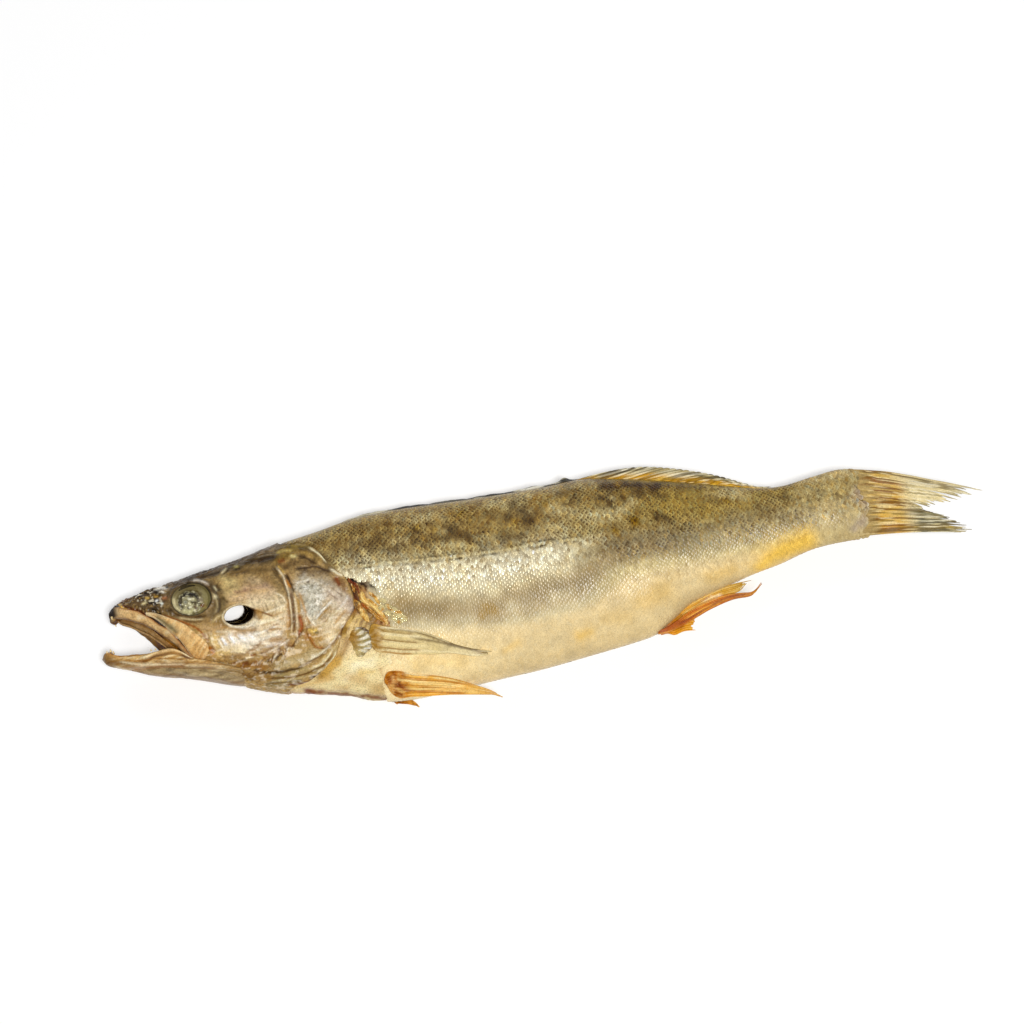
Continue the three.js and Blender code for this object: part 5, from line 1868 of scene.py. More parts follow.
# %% Torn skin
def strip(points, width, lift, seed, into, size=(70, 16), curl=1.0):
    """A ragged ribbon of dried skin along a line. It is held at its left edge and curls up at its right."""

    def wrap(u, v):
        x, y = along_line(points, u)
        ahead = along_line(points, np.minimum(u + 0.02, 1))
        back = along_line(points, np.maximum(u - 0.02, 0))
        along_x, along_y = ahead[0] - back[0], ahead[1] - back[1]
        length = np.maximum(np.hypot(along_x, along_y), 1e-6)
        spots = columns(x, y, 0 * x + seed)
        ends = ramp(np.minimum(u, 1 - u), -0.04, 0.2)
        reach = width * (v - 0.5) * ends * (1 + 0.4 * grain(spots, 3.0, seed))
        reach = reach + 0.25 * grain(spots, 1.2, seed + 1) * np.abs(2 * v - 1)
        x, y = x + along_y / length * reach, y - along_x / length * reach
        x, y = from_view(x, y, side_height(x, y))
        spots = columns(x, y, 0 * x)
        z = side_height(x, y) + lift + curl * v**2 + 0.2 * grain(spots, 1.8, seed + 2)
        return x, y, z + 0.16 * np.sin(14 * v + 2 * grain(spots, 3, seed + 3))

    return sheet(*size, wrap, into=into)


# centre line | width, lift, curl
STRIPS = rows("""
123,4 124.4,0 126,-4 128.4,-8.4 | 2.6 0.2 0.5
121.8,14.6 123.4,11 123.8,7 | 1.6 0.1 0.4
124.6,12.2 125.8,8.6 126.6,4.6 127.2,1 | 2.2 0.3 0.9
127.1,7.5 127.4,3.5 129,0.8 131.5,-1.6 133.6,-4.6 | 2.4 0.5 1
129,3 131.5,-0.4 133.6,-4.1 135.3,-7.9 137,-11.2 | 2.2 0.6 1.1
126,1.5 128.6,-2 131.4,-5 134.6,-9.4 | 1.8 0.3 0.8
130.4,6 133,3 134.6,-1 | 1.8 0.3 0.6
""")
TORN_LINES = rows("""
121.6,13.4 124.2,11.7 125.5,8.8 125.7,5.6 | 1.3 #6b2416 0.95
127.1,6.5 127.1,3.5 129,0.8 131.5,-1.4 133.4,-4.1 135.1,-7.9 136.6,-10.9 | 0.8 #f2d68c 0.9
125.8,1.6 127.4,-0.4 129.2,-1.8 | 0.7 #a8501a 0.9
132.7,-4.8 134.5,-7.5 135.8,-10.1 | 0.6 #b06a1a 0.9
128,-2 129.4,-4.6 131,-6 | 1.1 #6a4420 0.9
123.7,3 123.4,-1.6 124.4,-4 | 1.3 #5a3820 0.85
""")
FLAKES = places("136.5,0.5 138.5,-2.6 141,-5 138,-5.8 140.6,-8.4 143,-7.2 142.2,-10.6 135.4,-2.4 145,-9.8")


def paint_torn(x, y, z):
    small, patchy = grains(x, y, z, (0.7, 171), (2.0, 172))
    x, y = as_seen(x, y, z)
    tint, coat = base_coat(x, "#cf9a48")
    coat(ramp(patchy, 0.05, 0.5) * 0.7, "#ecca7c")
    coat(ramp(-patchy, 0.15, 0.5) * 0.6, "#8f5518")
    coat(ramp(y, 7, 13) * 0.6, "#6e3018")
    coat(ramp(small, 0.35, 0.7) * 0.6, "#f4dfa4")
    draw(tint, x, y, TORN_LINES, small)
    return tint * (1 + 0.15 * small)[:, None], surface(x, 0.5, 0.6)


def paint_flakes(x, y, z):
    small, patchy = grains(x, y, z, (0.6, 173), (1.6, 174))
    tint, coat = base_coat(x, "#d8c894")
    coat(ramp(patchy, 0.1, 0.5) * 0.8, "#c58a35")
    coat(ramp(-small, 0.2, 0.6) * 0.5, "#8c7a4c")
    return tint, surface(x, 0.3, 1.0, 0.1)


torn, flakes = bmesh.new(), bmesh.new()
for number, (points, width, lift, curl) in enumerate(STRIPS):
    strip(points, width, lift, 181 + 5 * number, torn, curl=curl)
for number, (x, y) in enumerate(FLAKES):
    strip([(x - 1.5, y + 1.0), (x, y), (x + 1.5, y - 1.2)], 2.8, 0.5, 231 + number, flakes, (14, 12), 0.7)
piece("torn_skin", torn, paint_torn, skin_finish, "dried_skin", thickness=0.2, outward=False)
piece("loose_scales", flakes, paint_flakes, scale_finish, "dried_skin", thickness=0.12, outward=False)

# %% [markdown]
# The breast fin stands on a fleshy pad, which has dried to a pale fan of fine ridges with a dark rim.

# %% Pad of the breast fin
PAD, PAD_LONG, PAD_HIGH = (121.4, -16.2), 7.4, 7.2
PAD_ROOT = 9.5  # mm in front of the middle, where the ridges meet
# The two olive lines between the pale ridges are painted shade.
PAD_LINES = rows("""
122.2,-9.4 126.1,-11.8 127.7,-14.4 128,-17 128.2,-19.5 127.4,-21.5 125.8,-22.6 | 0.8 #55380f 0.9
124.2,-17.9 127.6,-17.4 | 0.5 #f2eedc 0.9
123.2,-20.2 127,-20.5 | 0.5 #f2eedc 0.9
123.8,-15.4 126.8,-14 | 0.5 #f0ead4 0.85
122.6,-12.6 124.8,-11.6 | 0.5 #e9e0c4 0.8
124,-16.6 127.2,-15.7 | 0.4 #86783f 0.8
124,-19 127.4,-18.9 | 0.4 #86783f 0.8
116.6,-12 119.7,-12.9 121,-15 | 1.6 #9a6c24 0.8
117,-17 120,-19 | 1.6 #a98a4c 0.7
118,-20.6 122,-22 | 1.2 #d8c68c 0.7
""")


def pad_wrap(u, v):
    angle = 2 * np.pi * v
    ragged = 1 + 0.05 * np.sin(3 * angle + 1) + 0.03 * np.sin(7 * angle)
    x, y = PAD[0] + PAD_LONG * u * ragged * np.cos(angle), PAD[1] + PAD_HIGH * u * ragged * np.sin(angle)
    drop = 1.5 * ramp(PAD[0] - x, -1, 5) ** 1.3
    x, y = from_view(x, y, side_height(x, y))
    ridges = np.sin(8 * np.arctan2(y - PAD[1] + 1.8, x - PAD[0] + PAD_ROOT) * 3.2)
    spots = columns(x, y, 0 * x)
    dome = 1.5 * np.sqrt(np.clip(1 - 0.98 * u * u, 0, 1)) - 0.3 * bell(u - 0.86, 0.1)
    rough = 0.4 * grain(spots, 2, 245) + 0.2 * grain(spots, 1, 248)
    ridges = ridges * ramp(x, PAD[0] - 2, PAD[0] + 2)
    return x, y, side_height(x, y) + dome - drop - 0.3 + 0.28 * ridges * (1 - u**3) + rough


def paint_pad(x, y, z):
    small, patchy = grains(x, y, z, (0.7, 246), (2.2, 247))
    x, y = as_seen(x, y, z)
    reach = np.hypot((x - PAD[0]) / PAD_LONG, (y - PAD[1]) / PAD_HIGH)
    ridges = np.sin(8 * np.arctan2(y - PAD[1], x - PAD[0] + PAD_ROOT) * 3.2)
    tint, coat = base_coat(x, "#c2ad76")
    right = ramp(x, PAD[0] - 2, PAD[0] + 1)
    # The ridges are pale; between them the pad is painted darker, as painted shade.
    coat(ramp(ridges, 0.0, 0.5) * right * 0.75, "#e9e2cc")
    coat(ramp(-ridges, 0.2, 0.7) * right * 0.7, "#85754a")
    coat(ramp(-patchy, 0.1, 0.6) * 0.5, "#7c6a3c")
    coat(ramp(PAD[0] - x + 1.5 * patchy, -1, 3) * 0.9, "#a07534")
    coat(ramp(PAD[0] - x, 2, 5) * ramp(-y, 16, 21) * 0.8, "#e0cb94")
    coat(ramp(reach, 0.78, 0.95) * 0.7 * ramp(x, PAD[0], PAD[0] + 4), "#6b4c1c")
    draw(tint, x, y, PAD_LINES, small)
    return tint * (1 + 0.12 * small)[:, None], surface(x, 0.4, 0.8)


piece("fin_pad", sheet(50, 120, pad_wrap, sew=True), paint_pad, skin_finish, "dried_skin", outward=False)


# %% [markdown]
# A fin is a fan of stiff rays with thin skin between them. Dried, the skin shrinks onto the rays, so the
# fan looks pleated, and its free edge splits into points. One function folds such a fan: a sheet whose rows
# run along the rays, with a ridge for each ray and a frayed end. Its two long edges are drawn as lines.

# %% A pleated fan
FIN_WALL = 0.35  # mm
BUNCH = 3  # rays that stick together


def fan(upper, lower, rays, height, pleat, split, seed, size, seen=False):
    """A fan between two drawn edges, which both run from the fin's root to its tip."""
    chance = np.random.default_rng(seed)
    lengths = chance.uniform(0, 1, rays + 2)
    bundle = chance.uniform(0, 1, rays // BUNCH + 2)

    def wrap(u, v):
        ray = v * rays
        at_ray = np.abs(np.cos(np.pi * ray))
        index = np.round(ray).astype(int)
        frayed = split * (1 - at_ray**0.6) + split * 0.6 * lengths[index] * at_ray
        cut = frayed + split * bundle[index // BUNCH]
        cut = cut * ramp(np.minimum(v, 1 - v), 0, 0.06)
        along = u * (1 - cut)
        x, y = between(upper, lower, along, v)
        if seen:
            x, y = from_view(x, y, height(x, y))
        spots = columns(x, y, 0 * x)
        z = height(x, y) + pleat * (at_ray - 0.5) + 0.3 * grain(spots, 5, seed + 1)
        return x, y, z

    return sheet(size[0], rays * size[1], wrap)


def fin_piece(name, shape, painter):
    return piece(name, shape, painter, fin_finish, "fins", thickness=FIN_WALL, outward=False)


def fin_painter(colours, upper, lower, rays, streaks, deep, root_reach=0.25, seen=False):
    """Paints a fan: root, base and tip colour, streaks that follow the rays, and painted shade in its
    grooves.
    """
    root, base, tip, streak = colours
    fine_upper = np.array(along_line(upper, np.linspace(0, 1, 60))).T
    fine_lower = np.array(along_line(lower, np.linspace(0, 1, 60))).T
    centre = (fine_upper + fine_lower) / 2

    def painter(x, y, z):
        spots = columns(x, y, z)
        small, patchy = grain(spots, 0.8, 111), grain(spots, 4, 112)
        if seen:
            x, y = as_seen(x, y, z)
        share = nearest(x, y, centre)[2]
        from_upper, from_lower = nearest(x, y, upper)[0], nearest(x, y, lower)[0]
        v = from_upper / np.maximum(from_upper + from_lower, 1e-6)
        tint, coat = base_coat(x, base)
        coat(ramp(share, 0.45, 0.95), tip)
        coat(1 - ramp(share, 0.05, root_reach), root)
        # groove is high in the troughs between the rays' pleats, which get the deep colour as painted shade.
        groove = 0.5 - 0.5 * np.abs(np.cos(np.pi * v * rays)) * 2 + 0.5
        coat(np.clip(groove, 0, 1) * 0.75, deep)
        lines = grain(columns(share * 4, v * rays * 0.8, 0 * x), 1.0, 113)
        coat(ramp(lines, 0.1, 0.5) * streaks, streak)
        gloss = 0.5 + 0.2 * patchy
        return tint * (1 + 0.1 * small + 0.08 * patchy)[:, None], surface(x, 0.4, gloss)

    return painter


# %% [markdown]
# The tail fin grows out of the fleshy tail root in two lobes. Its rays are the finest of all, and the
# edge is frayed into long strands.

# %% Tail fin
TAIL_RAYS, TAIL_FROM = 46, 366.5
TAIL_ENDS = places("""429.5,-0.8 425.5,-2 420.5,-3.2 417,-4.4 411,-4.9 404.5,-4.6 399.5,-5.2 405.5,-8
    410,-9.6 413.5,-12.5 418,-15 423.5,-19.2 417,-19""")
SPLITS = np.cumsum([2, 3, 2, 4, 3, 2, 3, 4, 2, 3, 2, 3, 4, 2, 3])


def tail_wrap(u, v):
    ends_x, ends_y = along_line(TAIL_ENDS, v)
    ray = v * TAIL_RAYS
    at_ray = np.abs(np.cos(np.pi * ray))
    index = np.round(ray).astype(int)
    chance = np.random.default_rng(5)
    lengths, depths = chance.uniform(0, 1, TAIL_RAYS + 1), chance.uniform(0.12, 0.4, len(SPLITS))
    from_split = np.abs(ray[:, None] - SPLITS[None] - 0.5)
    closest = from_split.argmin(axis=1)
    cut = 0.1 * (1 - at_ray**0.5) + 0.12 * lengths[index]
    cut = np.maximum(cut, depths[closest] * (1 - from_split.min(axis=1) / 0.75))
    along = u * (1 - cut * ramp(np.minimum(v, 1 - v), 0, 0.03))
    root_x = TAIL_FROM + 5 * np.sin(np.pi * v)
    root_y = back_at(root_x) - 0.6 - (back_at(root_x) - belly_at(root_x) - 1.2) * v
    bend_x = root_x + 16
    bend_y = root_y * 0.95 - 1.2 * v + 0.4
    x = root_x * (1 - along) ** 2 + 2 * bend_x * along * (1 - along) + ends_x * along**2
    y = root_y * (1 - along) ** 2 + 2 * bend_y * along * (1 - along) + ends_y * along**2
    spots = columns(x, y, 0 * x)
    swell = 1.9 * (1 - ramp(x, 374, 392)) * np.sin(np.pi * np.clip(v, 0.04, 0.96)) ** 0.5
    z = middle(x) + 0.45 * (at_ray - 0.5) * (1 - 0.4 * along) + 0.8 * grain(spots, 9, 121) + 0.2 + swell
    return x, y, z + 0.5 * grain(columns(index * 1.0, 0 * x, 0 * x), 1.4, 120) * along


def paint_tail(x, y, z):
    small, patchy = grains(x, y, z, (0.8, 122), (5, 123))
    out = np.clip((x - 370) / 55, 0, 1)
    across = (19 - 19.8 * out - y) / (32 - 13.4 * out)
    lines = grain(columns(out * 3.5, across * TAIL_RAYS * 0.75, 0 * x), 1.0, 124)
    fine = grain(columns(out * 5, across * TAIL_RAYS * 1.4, 0 * x), 1.0, 125)
    tint, coat = base_coat(x, "#dfcd98")
    low_lobe = ramp(across, 0.42, 0.6)
    coat(low_lobe * ramp(x, 384, 396) * 0.9, "#7f7a58")
    coat(within(across, 0.84, 0.93, 0.03) * ramp(x, 380, 390) * 0.7, "#c2a24c")
    coat((1 - ramp(x, 386, 396)) * (0.75 + 0.4 * patchy), "#c08a30")
    coat(ramp(across, 0.95, 1.0) * 0.8, "#4a3c1a")
    coat(ramp(0.05 - across, 0, 0.05) * 0.7, "#5f4a20")
    outer = ramp(x, 388, 398)
    coat(ramp(lines, 0.05, 0.3) * (0.25 + 0.5 * low_lobe) * outer, "#4c452c")
    coat(ramp(lines, 0.02, 0.2) * 0.8 * (1 - outer), "#7d4c10")
    coat(ramp(-lines, 0.1, 0.3) * 0.7 * (1 - outer), "#e3bc62")
    coat(ramp(fine, 0.1, 0.35) * (0.35 + 0.3 * low_lobe), "#75602c")
    coat(ramp(-lines, 0.1, 0.35) * 0.65 * outer, "#f2e8c6")
    coat(ramp(-fine, 0.2, 0.45) * 0.6, "#f0dca4")
    coat(ramp(out, 0.72, 1.0) * 0.4, "#d8cfae")
    coat((1 - ramp(x + 2.5 * np.sin(2.1 * y) + 1.5 * patchy, 372, 378)) * 0.8, "#b59c66")
    return tint * (1 + 0.1 * small + 0.08 * patchy)[:, None], surface(x, 0.4, 0.6 + 0.2 * patchy)


fin_piece("tail_fin", sheet(90, TAIL_RAYS * 11, tail_wrap), paint_tail)

# %% [markdown]
# The back carries two fins. The front one has hard spines, and it dried folded flat, so it only shows as a
# dark strip along the ridge. The second one is soft: its rays lean back, yellow at their root and streaked
# with black and white at the edge.

# %% Back fins
SOFT_BASE = places("236,41.2 241,40.4 255.3,37.6 269.7,34.6 284,30.8 298.2,26.8 312.3,22.9 327,19.4")
SOFT_EDGE = places("""236.4,42.2 245.4,43.2 254.8,43.2 270.7,42 282.4,39.3 296.2,34.8 307.5,30 317.7,24.7
    324,21.6 330,20.2""")
SOFT_RAYS = 24
SOFT_FROM, SOFT_LONG, SOFT_LEAN = 236, 91, 24  # mm: front end, length, and how far the rays lean back
SPINY_FROM, SPINY_LONG = 121, 119


def soft_wrap(u, v):
    bx, by = along_line(SOFT_BASE, v)
    ex, ey = along_line(SOFT_EDGE, 0.24 + 0.76 * v**0.9)
    at_ray = np.abs(np.cos(np.pi * v * SOFT_RAYS))
    reach = u * (1 - 0.04 * (1 - at_ray) * ramp(v, 0, 0.1))
    x, y = bx + (ex - bx) * reach, by + (ey - by) * reach + 0.5 * np.sin(np.pi * reach)
    return x, y, middle(x) + 1.5 - 1.6 * reach + 0.6 * (at_ray - 0.5)


def paint_soft(x, y, z):
    base_x, base_y = np.array(along_line(SOFT_BASE, np.linspace(0, 1, 80)))
    edge_x, edge_y = np.array(along_line(SOFT_EDGE, np.linspace(0, 1, 80)))
    low, high = np.interp(x, base_x, base_y), np.interp(x, edge_x, edge_y)
    share = np.clip((y - low) / np.maximum(high - low, 0.3), 0, 1.2)
    along_ray = (x - SOFT_FROM - SOFT_LEAN * share) / SOFT_LONG * SOFT_RAYS
    lines = grain(columns(1.5 * along_ray, 0.9 * share, 0 * x), 1.0, 131)
    fine = grain(columns(3.2 * along_ray, 1.4 * share, 0 * x), 1.0, 134)
    small = grain(columns(x, y, z), 0.8, 132)
    tint, coat = base_coat(x, "#cf9a28")
    coat(ramp(share, 0.45, 0.75) * 0.9, "#a39668")
    coat(ramp(lines, 0.0, 0.3) * (0.15 + 0.65 * share), "#262012")
    coat(ramp(-lines, 0.02, 0.3) * 0.9 * ramp(share, 0.3, 0.55), "#ece5cc")
    coat(ramp(-lines, 0.1, 0.4) * 0.6 * (1 - share), "#e8c561")
    coat(ramp(fine, 0.1, 0.4) * 0.6, "#3a2f18")
    coat(ramp(-fine, 0.25, 0.5) * 0.5, "#efe4bc")
    coat(ramp(share, 0.06, 0.0) * 0.8, "#4a350f")
    return tint * (1 + 0.1 * small)[:, None], surface(x, 0.3, 0.5)


def spiny_wrap(u, v):
    x = SPINY_FROM + SPINY_LONG * v
    base = back_at(x)
    rise = 0.9 + 0.25 * np.abs(np.sin(13 * np.pi * v)) ** 0.5 + 0.2 * np.sin(0.33 * x)
    rise = rise + 1.3 * bell(x - 233, 2.2) + 0.5 * bell(x - 219, 5)
    rise = rise * ramp(v, 0, 0.08) * (1 - 0.5 * ramp(v, 0.94, 1.0))
    y = base - 1.6 + (rise + 1.6) * u
    z = middle(x) + 3.4 - 3.6 * u + 0.3 * np.sin(x * 0.9)
    return x, y, z


def paint_spiny(x, y, _):
    up = y - back_at(x)
    lines = grain(columns(x * 0.07, up * 1.8 + 0.05 * x, 0 * x), 1.0, 133)
    fine = grain(columns(x * 0.2, up * 4 + 0.1 * x, 0 * x), 1.0, 135)
    tint, coat = base_coat(x, "#5d5238")
    coat(ramp(lines, -0.05, 0.15), "#17130c")
    coat(ramp(-lines, 0.1, 0.3) * 0.95, "#d9d0b2")
    coat(0.9 * (stain(x, up, [(162, 0.4), (188, 0.4)], 0.9, 0.4, lines)), "#14100a")
    coat(0.9 * stain(x, up, [(212, 0.9), (226, 1.1)], 0.7, 0.5, lines), "#ece7d6")
    coat(0.9 * stain(x, up, [(232, 1), (235, 1.6)], 1.2, 0.4, lines), "#1d1a15")
    coat(ramp(-up, -0.3, 0.5) * 0.7, "#a8812e")
    coat(ramp(fine, 0.2, 0.5) * 0.6, "#2d2415")
    return tint, surface(x, 0.3, 0.6)


fin_piece("soft_back_fin", sheet(24, SOFT_RAYS * 10, soft_wrap), paint_soft)
fin_piece("spiny_back_fin", sheet(12, 420, spiny_wrap), paint_spiny)

# %% [markdown]
# The breast fins lie flat along the flank, and so they follow the body's side. The belly fins are stout,
# orange brown fans with a knotted root, and end in one hooked point.

# %% Breast fins and belly fins
PECTORAL_UPPER = places("""127.4,-12.5 129.8,-9.4 135,-11.4 144,-14.4 152.5,-17.6 160,-21.9 166,-26.2
    172.5,-29.4 178.5,-31.6 183,-32.8""")
PECTORAL_LOWER = places("""127.2,-19.5 129.6,-23 134.5,-24.6 141.5,-26.8 149.5,-28 157.5,-29.4 163,-29.8
    169,-31.6 174.5,-33.4 181,-34.2""")
PELVIC_UPPER = places("""130.4,-38 131,-35.2 134,-33.2 139,-34.2 145,-36.8 154.5,-39.2 163.5,-42.6 172,-47
    178.5,-50.8 184,-55.3""")
PELVIC_LOWER = places("""131.8,-40.5 133,-44.2 136.4,-46.8 142,-47.2 148.5,-48.2 159.5,-49.6 170,-51.5
    176.5,-52.6 180.5,-53.4 184,-55.5""")


def on_flank(lift):
    return lambda x, y: side_height(x, y) + lift - 1.5 * (1 - ramp(x, 126, 130.5))


def over_belly(x, y):
    spots = columns(x, y, 0 * x)
    knot = (1 - ramp(x, 136, 146)) * (0.9 + 1.1 * grain(spots, 2.4, 155) + 0.6 * grain(spots, 1.3, 156))
    high = np.maximum(side_height(x, np.maximum(y, belly_at(x) + 2)) - 1.5, 27.0 - 0.05 * (x - 130))
    return high + 1.6 + knot


def both_sides(edges, rays, height, name, painter, seed, twin=None, **other):
    """A fan and its mirror image. twin(x, y) moves the right one, where it dried in another place."""
    shape = fan(*edges, rays, height, seed=seed, **other)
    whole = [*shape.verts, *shape.edges, *shape.faces]
    again = bmesh.ops.duplicate(shape, geom=whole)["geom"]
    verts = [item for item in again if isinstance(item, bmesh.types.BMVert)]
    x, y, z = in_mm(np.array([vert.co[:] for vert in verts]))
    z = other_side(x, z, -1, 0.6)
    if twin:
        x, y = twin(x, y)
    for vert, place in zip(verts, in_metres(x, y, z)):
        vert.co = place
    bmesh.ops.reverse_faces(shape, faces=[item for item in again if isinstance(item, bmesh.types.BMFace)])
    return fin_piece(name, shape, painter)


def folded_under(x, y):
    return 132.5 + 0.22 * (x - 131), -44.4 + 0.44 * (y + 40)


PECTORAL, PELVIC = (PECTORAL_UPPER, PECTORAL_LOWER), (PELVIC_UPPER, PELVIC_LOWER)
PECTORAL_RAYS, PELVIC_RAYS = 20, 9
plain_pectoral = fin_painter(("#c99d4c", "#dfc98e", "#e4d19c", "#f0e0b0"), *PECTORAL, PECTORAL_RAYS, 0.5,
                             "#80602a", root_reach=0.15, seen=True)
plain_pelvic = fin_painter(("#c47c2a", "#eeb652", "#e6b258", "#fbe39c"), *PELVIC, PELVIC_RAYS, 0.65,
                           "#be7c2a", root_reach=0.22, seen=True)
PECTORAL_LINES = rows("""
134,-12.6 146,-15.8 156,-20.6 164,-25.6 172,-29.6 180,-32.2 | 0.6 #7a5f2c 0.85
147,-19.3 153.6,-21.8 159.2,-23.8 165,-26.6 | 0.7 #7d6636 0.85
163,-25.4 170,-28.2 177,-31 | 0.9 #6b5526 0.85
132,-11.4 144,-14.6 152,-17.4 | 0.5 #f0e2ba 0.8
131,-14.5 142,-17 152,-20 | 0.7 #f2e2b2 0.7
131,-19 142,-22 154,-25 | 0.7 #efdca4 0.7
131,-17 140,-19.6 150,-22.4 | 0.5 #8a6424 0.8
131,-21 140,-23.6 150,-26 | 0.5 #94692a 0.8
132,-13 140,-15.4 148,-18 | 0.5 #94702e 0.8
131,-23 138,-25.2 146,-27 | 0.5 #a8742c 0.8
128.8,-11 129.8,-17 129,-22 | 2.4 #9c7028 0.8
""")
PELVIC_LINES = rows("""
132.8,-34.4 135.4,-33.2 138.6,-33 144,-34.2 149,-36 | 0.5 #a46a24 0.8
140,-35.2 146,-36.6 152,-38.4 | 0.9 #f4e4b4 0.8
136,-36 143,-38.6 152,-41 162,-43.8 172,-47.4 | 0.5 #b8701f 0.8
138,-38 146,-40.8 156,-43.4 168,-47.2 | 0.9 #fbe09a 0.85
138,-40 146,-42.8 158,-46 170,-49.4 | 0.5 #c07c2a 0.75
140,-42.4 150,-45.2 162,-48 174,-51 | 0.9 #f7d484 0.8
137,-42 144,-44.8 156,-47.6 168,-50.4 | 0.6 #b2651a 0.8
150,-38 160,-41 170,-45.4 178,-50 | 0.6 #c4842c 0.8
133.5,-36.6 132.7,-39.4 | 1 #a4602a 0.7
134.5,-35.4 134.6,-38.6 | 0.8 #e0b070 0.85
136,-39.6 139,-42.2 | 1.5 #85380c 0.9
136.4,-37 139.4,-39.4 | 0.6 #f0cf86 0.85
135,-41.4 139,-44.4 | 0.6 #e6b868 0.8
134,-43 137.6,-45.6 | 0.9 #7d3c10 0.85
133.4,-30.4 134.6,-30 | 0.9 #cf8420 0.8
""")


def paint_pectoral(x, y, z):
    tint, gloss = plain_pectoral(x, y, z)
    small = grain(columns(x, y, z), 1, 157)
    return draw(tint, *as_seen(x, y, z), PECTORAL_LINES, small), gloss


def paint_pelvic(x, y, z):
    tint, gloss = plain_pelvic(x, y, z)
    coat = brush(tint)
    small, patchy = grains(x, y, z, (1.1, 158), (2.3, 159))
    x, y = as_seen(x, y, z)
    knot = 1 - ramp(x, 137, 145)
    coat(knot * 0.6, "#bd7426")
    coat(knot * ramp(patchy, 0.1, 0.4) * 0.6, "#7a3a0e")
    coat(knot * ramp(-patchy, 0.15, 0.5) * 0.6, "#e3b46a")
    return draw(tint, x, y, PELVIC_LINES, small), gloss


both_sides(PECTORAL, PECTORAL_RAYS, on_flank(0.6), "breast_fins", paint_pectoral, 141,
           split=0.06, pleat=0.35, size=(90, 10), seen=True)
both_sides(PELVIC, PELVIC_RAYS, over_belly, "belly_fins", paint_pelvic, 151, twin=folded_under,
           split=0.05, pleat=0.7, size=(110, 14), seen=True)

# %% [markdown]
# The anal fin has shrunk into three tongues: a yellow one along the belly, a red brown one below it, and a
# short torn flap at the front.

# %% Anal fin
ANAL_TONGUES = [
    ("263,-37.5 267,-35 271.9,-32 281.8,-27.2 294.5,-23.3 303.6,-22.3 311.4,-22.2",
     "263,-38.6 270,-36.6 280,-31.8 290,-28.8 298,-27.2 304.5,-26.6 309,-23.4",
     5, ("#c07420", "#dea338", "#c9a044", "#f4d888"), "#a8701c"),
    ("263,-38 270,-35.9 280,-31 290,-28 298,-26.9 306,-27.6 311,-28 315.6,-24.4",
     "262.5,-39.4 268,-39.4 276,-37.4 283,-34.8 290,-32.4 301,-29.9 309.9,-29.6 316,-25.2",
     6, ("#b2580e", "#c46a14", "#b8701e", "#ecae4e"), "#9a4a0c"),
    ("264,-38.4 268.5,-37.2 274,-35.6 279,-34.8 281.4,-35.6",
     "264,-39.7 267.2,-39.7 270.4,-41.2 275.2,-40.2 280.6,-40.8",
     5, ("#c8741c", "#e39c2e", "#e6a83a", "#f8cc6a"), "#b8701c"),
]
ANAL_LINES = rows("""
286,-28.2 291,-26.9 296,-26.4 | 0.6 #fff6dc 0.9
270,-34.6 280,-30.4 290,-26.4 | 0.5 #9a5a10 0.8
276,-32 286,-28.6 296,-25.8 | 0.5 #f2cc74 0.8
266,-37.4 274,-34.4 | 0.9 #a34a0a 0.8
272,-37 282,-33.4 294,-29.6 | 0.6 #8a3808 0.85
276,-34.6 288,-31 300,-28.6 | 0.5 #f0b050 0.8
290,-30.6 300,-28.4 308,-28.6 | 0.6 #8f4410 0.8
268,-38.6 276,-37.6 | 0.5 #a85c14 0.8
""")


def paint_anal(plain):
    def painter(x, y, z):
        tint, gloss = plain(x, y, z)
        return draw(tint, x, y, ANAL_LINES, grain(columns(x, y, z), 1, 166)), gloss

    return painter


for number, (upper, lower, rays, colours, deep) in enumerate(ANAL_TONGUES):
    upper, lower = places(upper), places(lower)
    shape = fan(upper, lower, rays, lambda x, y, n=number: middle(x) + (0.6, 2.2, 0.2)[n] + 0 * x,
                pleat=0.8, split=0.12, seed=161 + number, size=(60, 12))
    plain = fin_painter(colours, upper, lower, rays, 0.5, deep)
    fin_piece(f"anal_fin_{number + 1}", shape, paint_anal(plain))

# %% [markdown]
# Last come the floor, the light and the camera. The light is soft and broad, with one stronger lamp nearly
# above the cheek, so that the pale floor shows through the hole there.

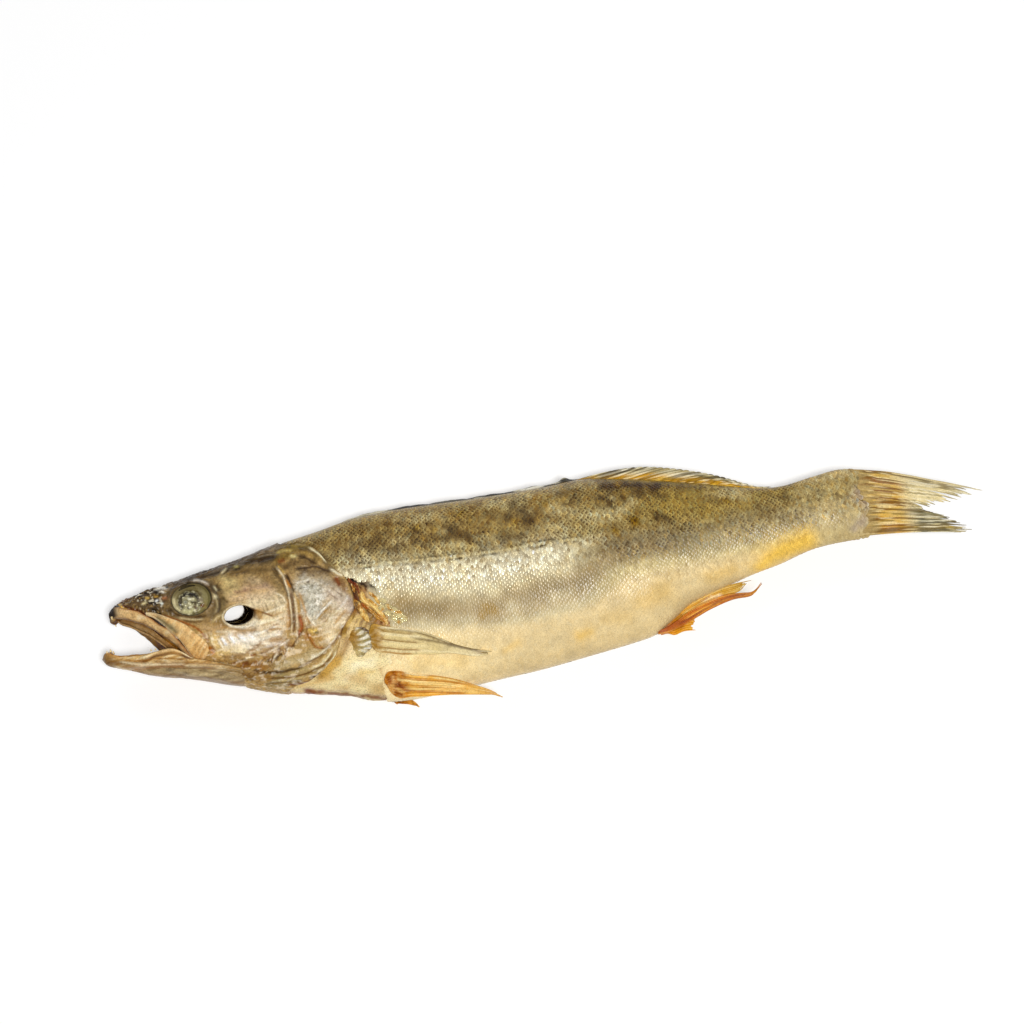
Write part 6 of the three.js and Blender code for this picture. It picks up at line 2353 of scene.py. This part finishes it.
# %% Stage, light and camera
FLOOR_WHITE, FLOOR_GLOW = 0.6, 0.42
floor_shape = bmesh.new()
bmesh.ops.create_grid(floor_shape, x_segments=1, y_segments=1, size=8.0)
bmesh.ops.translate(floor_shape, verts=floor_shape.verts, vec=(0, 0, cad_low.z - 0.0002))
floor_mesh = bpy.data.meshes.new("floor")
floor_shape.to_mesh(floor_mesh)
floor_shape.free()
floor = bpy.data.objects.new("floor", floor_mesh)
bpy.context.scene.collection.objects.link(floor)
plain = bpy.data.materials.new("pale_floor")
plain.use_nodes = True
set_sockets(plain.node_tree.nodes["Principled BSDF"], {
    "Base Color": (FLOOR_WHITE,) * 3 + (1,), "Roughness": 0.9,
    "Emission Color": (1, 1, 1, 1), "Emission Strength": FLOOR_GLOW,
})
floor_mesh.materials.append(plain)
floor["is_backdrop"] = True


def lamp(name, place, aim, width, depth, watts):
    light = bpy.data.lights.new(name, "AREA")
    light.shape, light.size, light.size_y, light.energy = "RECTANGLE", width, depth, watts
    holder = bpy.data.objects.new(name, light)
    bpy.context.scene.collection.objects.link(holder)
    holder.location = place
    holder.rotation_euler = (Vector(aim) - Vector(place)).to_track_quat("-Z", "Y").to_euler()


through_hole = Vector((0.142, -0.2, 0.969))
cheek = Vector(in_metres(66.4, 8.8, 20.0).tolist())
lamp("key", cheek + 1.9 * through_hole, cheek, 0.28, 0.28, 27)
lamp("back_sheen", (0.1, 1.5, 1.5), (0, 0, 0.02), 2.2, 1.2, 7)
world = bpy.data.worlds.new("studio")
world.use_nodes = True
set_sockets(world.node_tree.nodes["Background"], {"Color": (1, 1, 1, 1), "Strength": 0.22})
bpy.context.scene.world = world

eye_height, swing, distance = math.radians(80), math.radians(10.9), 1.1605
flat = math.cos(eye_height)
look = Vector((math.sin(swing) * flat, math.cos(swing) * flat, -math.sin(eye_height)))
target = Vector(in_metres(205.2, 31.5, 25.0).tolist())
camera = bpy.data.objects.new("camera", bpy.data.cameras.new("camera"))
camera.data.lens, camera.data.sensor_width = 85, 36
camera.location = target - look * distance
camera.rotation_euler = look.to_track_quat("-Z", "Y").to_euler()
bpy.context.scene.collection.objects.link(camera)
bpy.context.scene.camera = camera
bpy.context.scene.view_settings.view_transform = "Standard"

# %% [markdown]
# The dressed fish must be as long, as wide and as thick as the solid one. Both boxes are written down so
# that they can be compared.

# %% Sizes
low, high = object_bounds()
print("dressed fish, mm:", [round(1000 * side, 1) for side in high - low])
